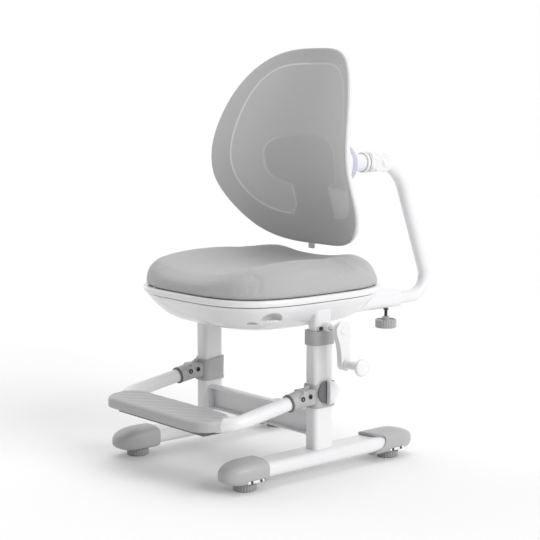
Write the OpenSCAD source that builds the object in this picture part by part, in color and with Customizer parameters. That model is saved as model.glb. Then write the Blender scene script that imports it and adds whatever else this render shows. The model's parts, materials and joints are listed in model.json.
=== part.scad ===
// Height-adjustable study chair for a child: two telescoping columns raised by
// a hand crank, a sliding footrest and a mesh backrest on a bent tube.
// +Z is up, the sitter faces -Y, +X is the sitter's left (the crank side).
// The origin lies on the floor, midway between the four feet.

/* [Base] */
// Distance between the centres of the two floor runners
track = 310; // [300:2:320]
// Distance between the front and rear feet of one runner
foot_spacing = 342; // [334:2:350]
// Radius of a levelling foot
foot_r = 20; // [16:0.5:22]
// Length of one runner tube
runner_len = 370; // [366:2:380]

/* [Columns] */
// Width of the outer column, across the chair
column_w = 29; // [27:1:32]
// Depth of the outer column, front to back
column_d = 45; // [42:1:50]
// Height of the top of the grey column collar
collar_top = 256; // [250:1:262]
// How far the crank raises the seat
lift = 120; // [60:10:120]

/* [Seat] */
// Half of the seat's width
seat_a = 180; // [174:1:186]
// Half of the seat's depth
seat_b = 192; // [186:1:198]
// Height of the line where cushion and shell meet, seat down
seat_line = 320; // [316:1:324]

/* [Footrest] */
// Outer diameter of the footrest tube
foot_tube_d = 25; // [22:1:26]
// Half of the footrest pad's length
pad_half = 147; // [130:1:150]

/* [Back] */
// Outer diameter of the bent back tube
back_tube_d = 25; // [22:1:26]
// Half of the backrest's width
back_a = 186; // [170:1:195]
// Height of the backrest's widest line
back_mid = 512; // [505:1:518]

/* [Hidden] */

$fn = 48;
run_gap = 0.05;                // clearance of a sliding or turning fit, per side
wall = 1.5;                    // wall of a steel column
left = 1;
right = -1;
front = -1;
rear = 1;

col_x = track / 2;
foot_y = foot_spacing / 2;

// Runner tube
runner_w = 54;
runner_h = 26;
runner_low = 19;
runner_top = runner_low + runner_h;
runner_mid = runner_low + runner_h / 2;
runner_round = 11;
runner_wall = 2;

// End cap
cap_w = 60;
cap_h = 40;
cap_round = 15;
cap_mid = 32;
cap_low = cap_mid - cap_h / 2;
cap_inner = 141;
cap_nose = 193;
cap_slot_y = [150, 188];
cap_slot_z = [16, 23];
cap_slot_deep = 3;

// Foot
foot_h = 11;
foot_band = 3;
foot_stem_r = 4;
foot_stem_top = 38;
foot_ribs = 36;
foot_nut_r = 8;
foot_nut_h = 6;

// Column
inner_w = 24;
inner_d = 38;
inner_round = 7;
outer_round = 8.5;
outer_top = 246;
collar_low = 231;
collar_grow = 3;
inner_low = 55;
inner_top = 298;
glide_h = 20;

// Crossbar
bar_low = 66;
bar_top = 111;
bar_deep = 14;
bar_sheet = 2;
bar_lip = 8;
rivet_z = [78, 99];
rivet_y = -8;
rivet_r = 3;

// Lifting screw and bevel gears
screw_r = 5;
screw_low = 60;
post_r = 9;
post_top = 185;
nut_top = 205;
crank_z = 262;
thrust_z = 247;
gear_big = 7;
gear_small = 3.5;
gear_gap = 0.15;
shaft_r = 4;

// Crank
hub_x = 205;
arm_thick = 11;
arm_drop = 60;
arm_lean = 7;
grip_x0 = 216.3;
grip_len = 42;

// Footrest
sleeve_z = [120, 164];
sleeve_wall = 4;
arm_x = 158;
arm_tilt = 9;                  // the footrest tube slopes down to the front
arm_ref = [-65, 136.5];        // a point of the tube's axis, Y and Z
bar_y = -213;                  // the cross stretch of the footrest tube
foot_bend = 40;
knob_z = 148;
knob_r = 20;
pad_front = -257;
pad_rear = -180;
pad_low = 107;
pad_top = 128;
pad_round = 34;

// Back tube
tube_z = 259;
receiver_rear = 352;
receiver_front = 60;
tube_front = 95;
elbow_y = 388.8;
elbow_r = 40;
lean = 20.5;                   // the back tube leans forward by this angle
upper_r = 78;
upper_turn = 55;
upper_z = 478;                 // where the upper bend starts
pivot = [296, 530];            // tilt pivot, Y and Z
lug_r = 15;
lug_half = 13;                 // half the width of the lug on the back tube
ear_r = 19.5;
ear_out = 20;                  // half the width over the ears
ear_in = lug_half + run_gap;
pin_r = 4;
neck_r = 17;
neck_z = 531;
ball_y = 226;
ball_r = 12;
ring_y = [250, 263];

// Backrest
back_high = 233;               // from the widest line to the top
back_deep = 129;               // from the widest line to the bottom
dish = 0.0023;                 // forward sweep of the sides, per mm of x
bend_high = 575;               // above this the back leans rearwards,
bend_mid = 560;                // below this it swings back towards the seat,
bend_low = 415;                // and below this it hangs straight
bend_y = 109;
sweep = 22.5;
kick = 31.5;
window_a = 155;                // half width of the opening inside the rim
window_mid = 540;
window_high = 178;
window_deep = 104;
stem_half = 50;                // half width of the middle panel's stem
head_half = 97;                // and of its head
head_mid = 540;
head_high = 48;
tab_x = -28;                   // small tab under the rim
tab_y = 139;
tab_low = 372;
mesh_t = 1.2;
mesh_gap = 1.2;              // keeps the flat facets of mesh and rim apart
frame_t = 8;
dome_y = 187;
dome_r = 43;
dome_h = 33;

// ---------------------------------------------------------------- helpers

// Rectangle with round corners, centred
module rrect(w, h, r) {
    square([w, h - 2 * r], center = true);
    square([w - 2 * r, h], center = true);
    for (x = [-1, 1], y = [-1, 1])
        translate([x * (w / 2 - r), y * (h / 2 - r)]) circle(r);
}

// Upright prism on a rounded rectangle between two heights, at one column
module column_prism(side, w, d, r, z0, z1)
    translate([side * col_x, 0, z0]) linear_extrude(z1 - z0) rrect(w, d, r);

// Cylinder along +X, from x0 to x1
module x_rod(x0, x1, y, z, r)
    translate([x0, y, z]) rotate([0, 90, 0]) cylinder(r = r, h = x1 - x0);

// Cylinder along +Y, from y0 to y1
module y_rod(y0, y1, x, z, r1, r2)
    translate([x, y0, z]) rotate([-90, 0, 0]) cylinder(r1 = r1, r2 = r2, h = y1 - y0);

// Closed solid through rings that all have the same number of points
module loft(rings) {
    n = len(rings[0]);
    m = len(rings);
    points = [for (ring = rings) each ring];
    low = [[for (i = [0 : n - 1]) i]];
    high = [[for (i = [n - 1 : -1 : 0]) (m - 1) * n + i]];
    sides = [for (j = [0 : m - 2], i = [0 : n - 1])
        let (a = j * n + i, b = j * n + (i + 1) % n)
        each [[a, a + n, b], [b, a + n, b + n]]];
    polyhedron(points, concat(low, sides, high), convexity = 8);
}

// Closed tube of sections: the rings close on each other, as in a frame's rim
module loop_loft(rings) {
    n = len(rings[0]);
    m = len(rings);
    points = [for (ring = rings) each ring];
    sides = [for (j = [0 : m - 1], i = [0 : n - 1])
        let (a = j * n + i, b = j * n + (i + 1) % n,
             c = ((j + 1) % m) * n + i, d = ((j + 1) % m) * n + (i + 1) % n)
        each [[a, c, b], [b, c, d]]];
    polyhedron(points, sides, convexity = 8);
}

function spow(v, p) = sign(v) * pow(abs(v), p);

// One ring of the seat's plan outline, s times the full size
function seat_ring(s, z, n = 48) = [for (i = [0 : n - 1])
    let (t = 360 * i / n)
    [s * seat_a * spow(cos(t), 0.59), s * seat_b * spow(sin(t), 0.59), z]];

// ---------------------------------------------------------------- base

module runner_bar(w, h, r, half)
    translate([0, 0, runner_mid]) rotate([90, 0, 0])
        linear_extrude(2 * half, center = true) rrect(w, h, r);

module runner(side) color("white") translate([side * col_x, 0, 0]) difference() {
    runner_bar(runner_w, runner_h, runner_round, runner_len / 2);
    runner_bar(runner_w - 2 * runner_wall, runner_h - 2 * runner_wall,
        runner_round - runner_wall, runner_len / 2 + 1);
    for (y = [-foot_y, foot_y]) translate([0, y, runner_low - 1]) cylinder(r = 5, h = 4);
}

// Bulbous cap on one end of one runner; end is front or rear
module end_cap(side, end) color("darkgray") translate([side * col_x, 0, 0])
    mirror([0, end == front ? 1 : 0, 0]) difference() {
        union() {
            translate([0, cap_nose, cap_mid]) rotate([90, 0, 0])
                linear_extrude(cap_nose - cap_inner) rrect(cap_w, cap_h, cap_round);
            translate([0, cap_nose, cap_mid]) rotate_extrude(angle = 180) intersection() {
                rrect(cap_w, cap_h, cap_round);
                translate([0, -cap_h]) square([cap_w, 2 * cap_h]);
            }
        }
        translate([0, runner_len / 4, 0])
            runner_bar(runner_w, runner_h, runner_round, runner_len / 4);
        translate([0, foot_y, cap_low - 1]) cylinder(r = 5, h = runner_h);
        translate([side * (cap_w / 2 - cap_slot_deep) - 5, cap_slot_y[0], cap_slot_z[0]])
            translate([side > 0 ? 5 : -5, 0, 0])
                cube([10, cap_slot_y[1] - cap_slot_y[0], cap_slot_z[1] - cap_slot_z[0]]);
    }

module cap_screws() color("black")
    for (side = [left, right], end = [front, rear], y = [158, 178])
        x_rod(side > 0 ? col_x + cap_w / 2 - cap_slot_deep : -col_x - cap_w / 2 + 1,
            side > 0 ? col_x + cap_w / 2 - 1 : -col_x - cap_w / 2 + cap_slot_deep,
            end * y, (cap_slot_z[0] + cap_slot_z[1]) / 2, 2.5);

module foot_nuts() color("silver") for (side = [left, right], end = [front, rear])
    translate([side * col_x, end * foot_y, runner_low + runner_wall]) difference() {
        cylinder(r = foot_nut_r, h = foot_nut_h, $fn = 6);
        translate([0, 0, -1]) cylinder(r = foot_stem_r + run_gap, h = foot_nut_h + 2);
    }

// Levelling foot: a ribbed disc on a threaded stem
module foot(side, end) color("gray") translate([side * col_x, end * foot_y, 0]) {
    cylinder(r = foot_r, h = foot_band);
    translate([0, 0, foot_band]) linear_extrude(foot_h - foot_band) {
        circle(foot_r - 1);
        for (i = [0 : foot_ribs - 1]) rotate(i * 360 / foot_ribs)
            translate([foot_r - 1.5, -0.8]) square([1.3, 1.6]);
    }
    translate([0, 0, foot_h]) cylinder(r = foot_stem_r, h = foot_stem_top - foot_h);
}

module outer_column(side) color("white") difference() {
    column_prism(side, column_w, column_d, outer_round, runner_top, outer_top);
    column_prism(side, column_w - 2 * wall, column_d - 2 * wall, outer_round - wall,
        runner_top - 1, outer_top + 1);
    for (z = rivet_z)
        x_rod(side > 0 ? col_x - column_w / 2 - 1 : -col_x + column_w / 2 - 2,
            side > 0 ? col_x - column_w / 2 + 2 : -col_x + column_w / 2 + 1,
            rivet_y, z, rivet_r);
}

module collar(side) color("gray") difference() {
    column_prism(side, column_w + 2 * collar_grow, column_d + 2 * collar_grow,
        outer_round + collar_grow, collar_low, collar_top);
    column_prism(side, column_w, column_d, outer_round, collar_low - 1, outer_top);
    column_prism(side, inner_w + 2 * run_gap, inner_d + 2 * run_gap, inner_round + run_gap,
        outer_top - 1, collar_top + 1);
}

bar_half = col_x - column_w / 2;

// Folded channel between the columns, open to the front
module crossbar() color("white") difference() {
    union() {
        translate([-bar_half, -bar_sheet, bar_low])
            cube([2 * bar_half, bar_sheet, bar_top - bar_low]);
        for (z = [bar_low, bar_top - bar_sheet])
            translate([-bar_half, -bar_deep, z]) cube([2 * bar_half, bar_deep, bar_sheet]);
        for (z = [bar_low, bar_top - bar_lip])
            translate([-bar_half, -bar_deep, z]) cube([2 * bar_half, bar_sheet, bar_lip]);
        for (x = [-bar_half, bar_half - bar_sheet])
            translate([x, -bar_deep, bar_low]) cube([bar_sheet, bar_deep, bar_top - bar_low]);
    }
    for (z = rivet_z) x_rod(-bar_half - 1, bar_half + 1, rivet_y, z, rivet_r);
}

module crossbar_rivets() color("silver") for (side = [left, right], z = rivet_z)
    mirror([side < 0 ? 1 : 0, 0, 0]) {
        x_rod(bar_half - bar_sheet, bar_half + wall, rivet_y, z, rivet_r);
        x_rod(bar_half - bar_sheet - 2.5, bar_half - bar_sheet, rivet_y, z, 4.5);
    }

module screw_post() color("silver") translate([col_x, 0, runner_top]) difference() {
    cylinder(r = post_r, h = post_top - runner_top);
    translate([0, 0, -1]) cylinder(r = post_r - 2.5, h = post_top - runner_top + 2);
}

module lead_nut() color("goldenrod") translate([col_x, 0, 0]) difference() {
    union() {
        translate([0, 0, post_top]) cylinder(r = post_r, h = nut_top - post_top);
        translate([0, 0, post_top - 10]) cylinder(r = post_r - 2.5, h = 10);
    }
    translate([0, 0, post_top - 11]) cylinder(r = screw_r + run_gap, h = nut_top - post_top + 12);
}

// ---------------------------------------------------------------- seat lift

module inner_column(side) color("white") difference() {
    column_prism(side, inner_w, inner_d, inner_round, inner_low, inner_top);
    column_prism(side, inner_w - 2 * wall, inner_d - 2 * wall, inner_round - wall,
        inner_low - 1, inner_top + 1);
    if (side == left) x_rod(col_x + 8, col_x + 20, 0, crank_z, 6);
}

module column_glides() color("gray") for (side = [left, right]) difference() {
    column_prism(side, column_w - 2 * wall - 2 * run_gap, column_d - 2 * wall - 2 * run_gap,
        outer_round - wall - run_gap, inner_low, inner_low + glide_h);
    column_prism(side, inner_w, inner_d, inner_round, inner_low - 1, inner_low + glide_h + 1);
}

beam_half = col_x - inner_w / 2;
beam_low = 278;
beam_d = 36;

module seat_beam() color("silver") difference() {
    translate([-beam_half, -beam_d / 2, beam_low])
        cube([2 * beam_half, beam_d, inner_top - beam_low]);
    translate([-beam_half - 1, -beam_d / 2 + 2, beam_low - 1])
        cube([2 * beam_half + 2, beam_d - 4, inner_top - beam_low - 1]);
    for (x = [-100, 100]) translate([x, 0, inner_top - 4]) cylinder(r = 3.2, h = 6);
}

board_t = 8;
bolt_y = [80, 125];

module seat_board() color("burlywood") difference() {
    linear_extrude_at(inner_top, board_t) board_outline();
    for (x = [-100, 100]) translate([x, 0, inner_top - 1]) cylinder(r = 3.2, h = board_t + 2);
    for (y = bolt_y) translate([0, y, inner_top - 1]) cylinder(r = 3.2, h = board_t + 2);
}

module linear_extrude_at(z, h) translate([0, 0, z]) linear_extrude(h) children();

module board_outline() rrect(2 * 152, 2 * 163, 80);

// Outline scale and height of the shell's outside, from the belly to the rim
shell_out = [[0.58, 256], [0.68, 259], [0.76, 265], [0.83, 273.5], [0.89, 285], [0.94, 296],
    [0.975, 305], [0.995, 311], [1, seat_line]];
shell_in = [[0.978, seat_line], [0.973, 312], [0.955, 306], [0.92, 297.5], [0.87, 287.5],
    [0.81, 277], [0.74, 269], [0.66, 263], [0.57, 260]];

// Bowl under the seat, with slots for the columns and the back receiver
module seat_shell() color("white") difference() {
    loft([for (p = concat(shell_out, shell_in)) seat_ring(p[0], p[1])]);
    for (side = [left, right])
        column_prism(side, inner_w + 1, inner_d + 1, inner_round + 0.5, 250, inner_top + 1);
    receiver_outside();
}

// Outline scale and height of the cushion's underside and edge
cushion_side = [[0.86, 306.2], [0.93, 314], [0.945, seat_line + 0.1], [0.985, seat_line + 0.1],
    [1, 326], [1.003, 333]];
// Outline scale and share of the full padding, from the edge to the middle
cushion_top = [[0.99, 0.42], [0.955, 0.66], [0.89, 0.86], [0.78, 0.97], [0.6, 1], [0.35, 1]];
padding_min = 30;
bolster = 25;                  // extra padding at the crest of each side

// Height of the full padding over the seat line: a crest at each side
function padding(x, y) = padding_min + bolster
    * exp(-pow((abs(x / seat_a) - 0.72) / 0.26, 2) - pow((y / seat_b - 0.05) / 0.75, 2));

module seat_cushion() color("lightgray") loft(concat(
    [for (c = cushion_side) seat_ring(c[0], c[1])],
    [for (c = cushion_top) [for (p = seat_ring(c[0], seat_line))
        [p[0], p[1], seat_line + c[1] * padding(p[0], p[1])]]],
    [seat_ring(0.1, seat_line + padding_min)]));

// Screws up through the beam and the receiver into the board
module seat_bolts() color("black") {
    for (x = [-100, 100]) translate([x, 0, 0]) {
        translate([0, 0, inner_top - 5]) cylinder(r = 5.5, h = 3);
        translate([0, 0, inner_top - 2]) cylinder(r = 3.2, h = board_t + 2);
    }
    for (y = bolt_y) translate([0, y, inner_top - 12]) cylinder(r = 3.2, h = board_t + 12);
}

receiver_w = 36;
receiver_h = 32;

module receiver_outside() {
    translate([0, receiver_rear, tube_z]) rotate([90, 0, 0])
        linear_extrude(receiver_rear - receiver_front) rrect(receiver_w, receiver_h, 14);
    translate([-receiver_w / 2, receiver_front, tube_z])
        cube([receiver_w, 90, inner_top - tube_z]);
}

module back_receiver() color("white") difference() {
    receiver_outside();
    y_rod(receiver_front + 8, receiver_rear + 1, 0, tube_z,
        back_tube_d / 2 + run_gap, back_tube_d / 2 + run_gap);
    translate([0, depth_y, tube_z - receiver_h]) cylinder(r = 3 + run_gap, h = receiver_h);
    for (y = bolt_y) translate([0, y, inner_top - 12]) cylinder(r = 3.2, h = 20);
}

// Bearing plate for the lifting screw with a boss for the crank shaft
module gear_housing() color("dimgray") difference() {
    union() {
        column_prism(left, inner_w - 2 * wall, inner_d - 2 * wall, inner_round - wall,
            thrust_z - 7, thrust_z);
        translate([col_x + gear_big + 0.2, -12, thrust_z])
            cube([inner_w / 2 - wall - gear_big - 0.2, 24, 26]);
        x_rod(col_x + 9, col_x + inner_w / 2, 0, crank_z, 6);
    }
    translate([col_x, 0, thrust_z - 8]) cylinder(r = screw_r + run_gap, h = 9);
    x_rod(col_x, col_x + 20, 0, crank_z, shaft_r + run_gap);
}

// Bearing flange on the column's outer face, just above the collar
flange_x = col_x + inner_w / 2;
flange_z = crank_z - 1;
flange_round = 4.5;
flange_screw_y = [-12, 12];

module shaft_flange() color("white") difference() {
    union() {
        translate([flange_x, 0, flange_z]) rotate([0, 90, 0]) linear_extrude(3) {
            square([2 * flange_round, flange_screw_y[1] - flange_screw_y[0]], center = true);
            for (y = flange_screw_y) translate([0, y]) circle(flange_round);
        }
        x_rod(flange_x, flange_x + 14, 0, crank_z, 8);
    }
    x_rod(flange_x - 1, flange_x + 20, 0, crank_z, shaft_r + run_gap);
    translate([flange_x - 1, -8.5, collar_top - 10]) cube([16, 17, 10 + 2 * run_gap]);
}

module flange_screws() color("black") for (y = flange_screw_y)
    x_rod(flange_x + 3, flange_x + 5.5, y, flange_z, 3.4);

// ---------------------------------------------------------------- lifting gear

module lead_screw() color("silver") translate([col_x, 0, 0]) {
    translate([0, 0, screw_low]) cylinder(r = screw_r, h = thrust_z + 2 - screw_low);
    translate([0, 0, thrust_z + run_gap]) cylinder(r = 6.8, h = 2 - run_gap);
    translate([0, 0, thrust_z - 10]) cylinder(r = 6.8, h = 3 - run_gap);
    translate([0, 0, thrust_z + 2]) cylinder(r = 2.5, h = 9);
}

// Bevel gear on +Z, its pitch cone ending short of the crossing of the two axes
module bevel(bore) difference() {
    union() {
        cylinder(r1 = gear_big - gear_gap, r2 = gear_small - gear_gap,
            h = gear_big - gear_small);
        translate([0, 0, -3]) cylinder(r = gear_big - gear_gap, h = 3);
    }
    translate([0, 0, -4]) cylinder(r = bore, h = 12);
}

module screw_bevel_gear() color("goldenrod")
    translate([col_x, 0, crank_z - gear_big]) {
        bevel(2.5);
        translate([0, 0, -6]) difference() {
            cylinder(r = 4.5, h = 3);
            translate([0, 0, -1]) cylinder(r = 2.5, h = 5);
        }
    }

module shaft_bevel_gear() color("goldenrod") difference() {
    translate([col_x + gear_big, 0, crank_z]) rotate([0, -90, 0])
        cylinder(r1 = gear_big - gear_gap, r2 = gear_small - gear_gap,
            h = gear_big - gear_small);
    x_rod(col_x, col_x + 20, 0, crank_z, 2);
}

// Crank shaft: thin end in the gear, full end in the hub
module drive_shaft() color("silver") {
    x_rod(col_x + gear_small, col_x + gear_big + 0.2, 0, crank_z, 2);
    x_rod(col_x + gear_big + 0.2, hub_x + 6, 0, crank_z, shaft_r);
}

arm_end = [arm_lean, crank_z - arm_drop];

// Flat arm with a round hub, leaning slightly to the rear at rest
module crank_arm() color("lightgray") difference() {
    translate([hub_x, 0, 0]) rotate([90, 0, 90]) linear_extrude(arm_thick) union() {
        translate([0, crank_z]) circle(13);
        translate(arm_end) circle(8);
        arm_strip();
    }
    x_rod(hub_x - 1, hub_x + 6, 0, crank_z, shaft_r);
    x_rod(hub_x - 1, hub_x + arm_thick + 1, arm_end[0], arm_end[1], 3);
}

// Tapered strip from the hub to the grip, drawn in the YZ plane
module arm_strip() polygon([[-10, crank_z - 6], [arm_lean - 7.5, arm_end[1]],
    [arm_lean + 7.5, arm_end[1]], [12, crank_z - 2]]);

module grip_spindle() color("silver") {
    x_rod(hub_x, grip_x0 + grip_len - 3, arm_end[0], arm_end[1], 3);
    x_rod(grip_x0 + grip_len - 3, grip_x0 + grip_len - 1, arm_end[0], arm_end[1], 5);
}

grip_neck = grip_len - 15;

// Mushroom grip that turns on the spindle
module crank_grip() color("lightgray") difference() {
    translate([grip_x0, arm_end[0], arm_end[1]]) rotate([0, 90, 0]) {
        cylinder(r = 7.5, h = grip_neck);
        translate([0, 0, grip_neck]) cylinder(r1 = 7.5, r2 = 15.5, h = 10);
        translate([0, 0, grip_neck + 10]) cylinder(r = 15.5, h = 4);
        translate([0, 0, grip_neck + 14]) cylinder(r1 = 15.5, r2 = 12.5, h = 1);
    }
    x_rod(grip_x0 - 1, grip_x0 + grip_len + 1, arm_end[0], arm_end[1], 3 + run_gap);
    x_rod(grip_x0 + grip_len - 3 - run_gap, grip_x0 + grip_len + 1, arm_end[0], arm_end[1], 6);
}

// ---------------------------------------------------------------- footrest

sleeve_face = column_d / 2 + sleeve_wall;
sleeve_side = column_w / 2 + sleeve_wall;

module clamp_sleeve(side) color("lightgray") difference() {
    column_prism(side, column_w + 2 * sleeve_wall, column_d + 2 * sleeve_wall,
        outer_round + sleeve_wall, sleeve_z[0], sleeve_z[1]);
    column_prism(side, column_w + 2 * run_gap, column_d + 2 * run_gap, outer_round + run_gap,
        sleeve_z[0] - 1, sleeve_z[1] + 1);
    x_rod(side > 0 ? col_x + 10 : -col_x - 30, side > 0 ? col_x + 30 : -col_x - 10,
        0, knob_z, 3 + run_gap);
}

// The footrest tube's own frame: +Y along the arms, on the tube's axis
module arm_frame() translate([0, arm_ref[0], arm_ref[1]]) rotate([arm_tilt, 0, 0]) children();

socket_front = -10;
socket_rear = 26;

module arm_socket(side) color("lightgray") difference() {
    union() {
        arm_frame() y_rod(socket_front, socket_rear, side * arm_x, 0, 15.5, 15.5);
        translate([side * arm_x - 13.5, -50, 126]) cube([27, 50 - sleeve_face, 30]);
        translate([side * arm_x - 2, 0, 0]) rotate([90, 0, 90]) linear_extrude(4)
            polygon([[-70, 149], [-34, 160], [-sleeve_face, 160], [-sleeve_face, 140],
                [-70, 138]]);
    }
    arm_frame() y_rod(socket_front - 1, socket_rear - 6, side * arm_x, 0,
        foot_tube_d / 2, foot_tube_d / 2);
}

module socket_screws() color("black") for (side = [left, right], y = [-55, -38])
    mirror([side < 0 ? 1 : 0, 0, 0]) x_rod(arm_x + 15.6, arm_x + 18.6, y, 142, 4);

// U of round tube, drawn flat at the height of its axis
foot_u_y = (bar_y - arm_ref[0]) / cos(arm_tilt);

module foot_u(r) {
    for (side = [left, right]) {
        y_rod(foot_u_y + foot_bend, socket_rear - 6, side * arm_x, 0, r, r);
        translate([side * (arm_x - foot_bend), foot_u_y + foot_bend, 0])
            rotate([0, 0, side > 0 ? -90 : 180])
                rotate_extrude(angle = 90) translate([foot_bend, 0]) circle(r);
    }
    x_rod(-arm_x + foot_bend, arm_x - foot_bend, foot_u_y, 0, r);
}

module footrest_tube() color("white") difference() {
    arm_frame() foot_u(foot_tube_d / 2);
    arm_frame() foot_u(foot_tube_d / 2 - 2);
}

// Round-ended pad that sits over the cross stretch of the tube
module footrest_pad() color("darkgray") difference() {
    translate([0, (pad_front + pad_rear) / 2, pad_low]) linear_extrude(pad_top - pad_low)
        rrect(2 * pad_half, pad_rear - pad_front, pad_round);
    translate([-pad_half + 12, bar_y - 22, pad_low - 1])
        cube([2 * pad_half - 24, 44, 7]);
    arm_frame() foot_u(foot_tube_d / 2);
}

module pad_bracket() color("dimgray") difference() {
    translate([-pad_half + 24, bar_y - 21, pad_low - 11]) cube([2 * pad_half - 48, 42, 17]);
    arm_frame() foot_u(foot_tube_d / 2);
}

module clamp_knob(side) color("whitesmoke") mirror([side < 0 ? 1 : 0, 0, 0]) {
    x_rod(col_x + column_w / 2 + run_gap, col_x + sleeve_side + 1, 0, knob_z, 3);
    x_rod(col_x + sleeve_side + 0.5, col_x + sleeve_side + 8, 0, knob_z, knob_r);
    translate([col_x + sleeve_side + 8, 0, knob_z]) rotate([0, 90, 0]) linear_extrude(5)
        intersection() {
            circle(knob_r);
            translate([-knob_r, -5]) square([2 * knob_r, knob_r + 5]);
        }
}

// ---------------------------------------------------------------- back

depth_y = 321;
elbow_z = tube_z + elbow_r;
elbow_end = [elbow_y + elbow_r * cos(lean), elbow_z + elbow_r * sin(lean)];
rise = (upper_z - elbow_end[1]) / cos(lean);
upper_start = elbow_end + rise * [-sin(lean), cos(lean)];
upper_c = upper_start + upper_r * [-cos(lean), -sin(lean)];
tip_dir = 90 + lean + upper_turn;
upper_end = upper_c + upper_r * [cos(lean + upper_turn), sin(lean + upper_turn)];
tip_len = norm(pivot - upper_end) - 2;

// Straight piece of tube in the plane X = 0, from p towards the angle a
module yz_rod(p, a, len, r)
    translate([0, p[0], p[1]]) rotate([a - 90, 0, 0]) cylinder(r = r, h = len);

// Elbow in the plane X = 0 about c, from the angle a0 through turn
module yz_elbow(c, big_r, a0, turn, r)
    translate([0, c[0], c[1]]) rotate([90, 0, 90]) rotate([0, 0, a0])
        rotate_extrude(angle = turn) translate([big_r, 0]) circle(r);

module back_path(r, extra, tip) {
    y_rod(tube_front - extra, elbow_y, 0, tube_z, r, r);
    seam([elbow_y, tube_z], 0, r);
    yz_elbow([elbow_y, elbow_z], elbow_r, -90, 90 + lean, r);
    seam(elbow_end, 90 + lean, r);
    yz_rod(elbow_end, 90 + lean, rise, r);
    seam(upper_start, 90 + lean, r);
    yz_elbow(upper_c, upper_r, lean, upper_turn, r);
    seam(upper_end, tip_dir, r);
    yz_rod(upper_end, tip_dir, tip, r);
}

// Hair-thin band that joins two stretches of tube end to end
module seam(p, a, r) yz_rod(p + 0.3 * [-cos(a), -sin(a)], a, 0.6, r + 0.04);

// Bent tube with the tilt lug welded to its tip
module back_tube() color("white") difference() {
    union() {
        difference() {
            back_path(back_tube_d / 2, 0, tip_len);
            back_path(back_tube_d / 2 - 2, 1, 1);
        }
        x_rod(-lug_half, lug_half, pivot[0], pivot[1], lug_r);
    }
    x_rod(-lug_half - 1, lug_half + 1, pivot[0], pivot[1], pin_r + run_gap);
}

// Knurled knob under the receiver that locks the seat depth
module depth_knob() color("gray") translate([0, depth_y, 0]) {
    translate([0, 0, 225]) cylinder(r = 3, h = tube_z - back_tube_d / 2 - run_gap - 225);
    translate([0, 0, 203]) linear_extrude(18) {
        circle(17.6);
        for (i = [0 : 29]) rotate(i * 12) translate([17, -0.9]) square([1.5, 1.8]);
    }
    translate([0, 0, 221]) cylinder(r1 = 17, r2 = 8, h = 4);
}

// Neck between the tilt pivot and the ball inside the disc
module neck() color("white") difference() {
    union() {
        for (side = [left, right]) mirror([side < 0 ? 1 : 0, 0, 0]) {
            x_rod(ear_in, ear_out, pivot[0], pivot[1], ear_r);
            translate([ear_in, pivot[0] - ear_r - 2, pivot[1] - lug_r])
                cube([ear_out - ear_in, ear_r + 2, 2 * lug_r]);
        }
        y_rod(ring_y[1] + 2, pivot[0] - lug_r - 1, 0, neck_z, ear_r, ear_r);
        y_rod(ring_y[0] - 2, ring_y[1] + 2, 0, neck_z, neck_r, neck_r);
        y_rod(ball_y, ring_y[0] - 2, 0, neck_z, 8, 8);
        translate([0, ball_y, neck_z]) sphere(ball_r);
    }
    x_rod(-ear_out - 1, ear_out + 1, pivot[0], pivot[1], pin_r);
}

module tilt_pin() color("silver") {
    x_rod(-ear_out, ear_out, pivot[0], pivot[1], pin_r);
    for (x = [-ear_out - 2, ear_out]) x_rod(x, x + 2, pivot[0], pivot[1], 6.5);
}

module neck_ring() color("white") difference() {
    y_rod(ring_y[0], ring_y[1], 0, neck_z, 19.8, 19.8);
    y_rod(ring_y[0] - 1, ring_y[1] + 1, 0, neck_z, neck_r + run_gap, neck_r + run_gap);
}

// ---------------------------------------------------------------- backrest

// Depth of the backrest's rear-facing datum surface
function mid_y(z) = z > bend_high ? bend_y + sweep * pow((z - bend_high) / 170, 1.2)
    : z > bend_mid ? bend_y
    : z > bend_low ? bend_y + kick * (1 - cos(180 * (bend_mid - z) / (bend_mid - bend_low))) / 2
    : bend_y + kick;
function back_y(x, z) = mid_y(z) - dish * x * x;

// Point of the backrest's outline at the angle a, s times the full size
function outline(a, s) = let (c = cos(a), n = sin(a))
    [s * back_a * spow(c, 0.644),
     back_mid + s * (n > 0 ? back_high * pow(n, 1.016) : -back_deep * pow(-n, 1.127))];

// Point at the outline, t behind the datum surface
function at(p, t) = [p[0], back_y(p[0], p[1]) + t, p[1]];

rim_n = 72;

// Angle of the rim's section i, closer together at the top and the bottom
function rim_angle(i) = let (u = i * 360 / rim_n) u + 14 * sin(2 * u);

// Point of the inner edge of the rim at the angle a: the windows' outer edge
function window(a) = let (c = cos(a), n = sin(a))
    [window_a * spow(c, 0.5),
     window_mid + (n > 0 ? window_high * pow(n, 1.25) : -window_deep * pow(-n, 0.909))];

module rim() loop_loft([for (i = [0 : rim_n - 1])
    let (a = rim_angle(i), o = outline(a, 1), m = window(a), c = (o + m) / 2)
    [at(o, 0), at(o, frame_t), at(c, frame_t), at(m, frame_t), at(m, 0), at(c, 0)]]);

// Half width of the mushroom-shaped middle panel at height z
function panel_half(z) = z < 490 ? stem_half
    : (z < 506 ? stem_half + 33 * (1 - cos((z - 490) * 180 / 16)) / 2
    : head_half * sqrt(max(0, 1 - pow((z - head_mid) / head_high, 4))));

panel_low = window_mid - window_deep - 8;
panel_high = head_mid + head_high - 0.5;
panel_z = [for (i = [0 : 22]) panel_low + (panel_high - panel_low) * sin(i * 90 / 22)];

module middle_panel() loft([for (z = panel_z)
    let (w = max(panel_half(z), 2))
    concat([for (k = [-4 : 4]) at([w * k / 4, z], 1)],
           [for (k = [4 : -1 : -4]) at([w * k / 4, z], 6)])]);

hub_y = 138;                   // flat face where hub and boss meet
hub_r = 48;
hub_screw = 30;                // screws sit this far to each side of the hub's axis
screw_hole = 2.6;

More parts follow.
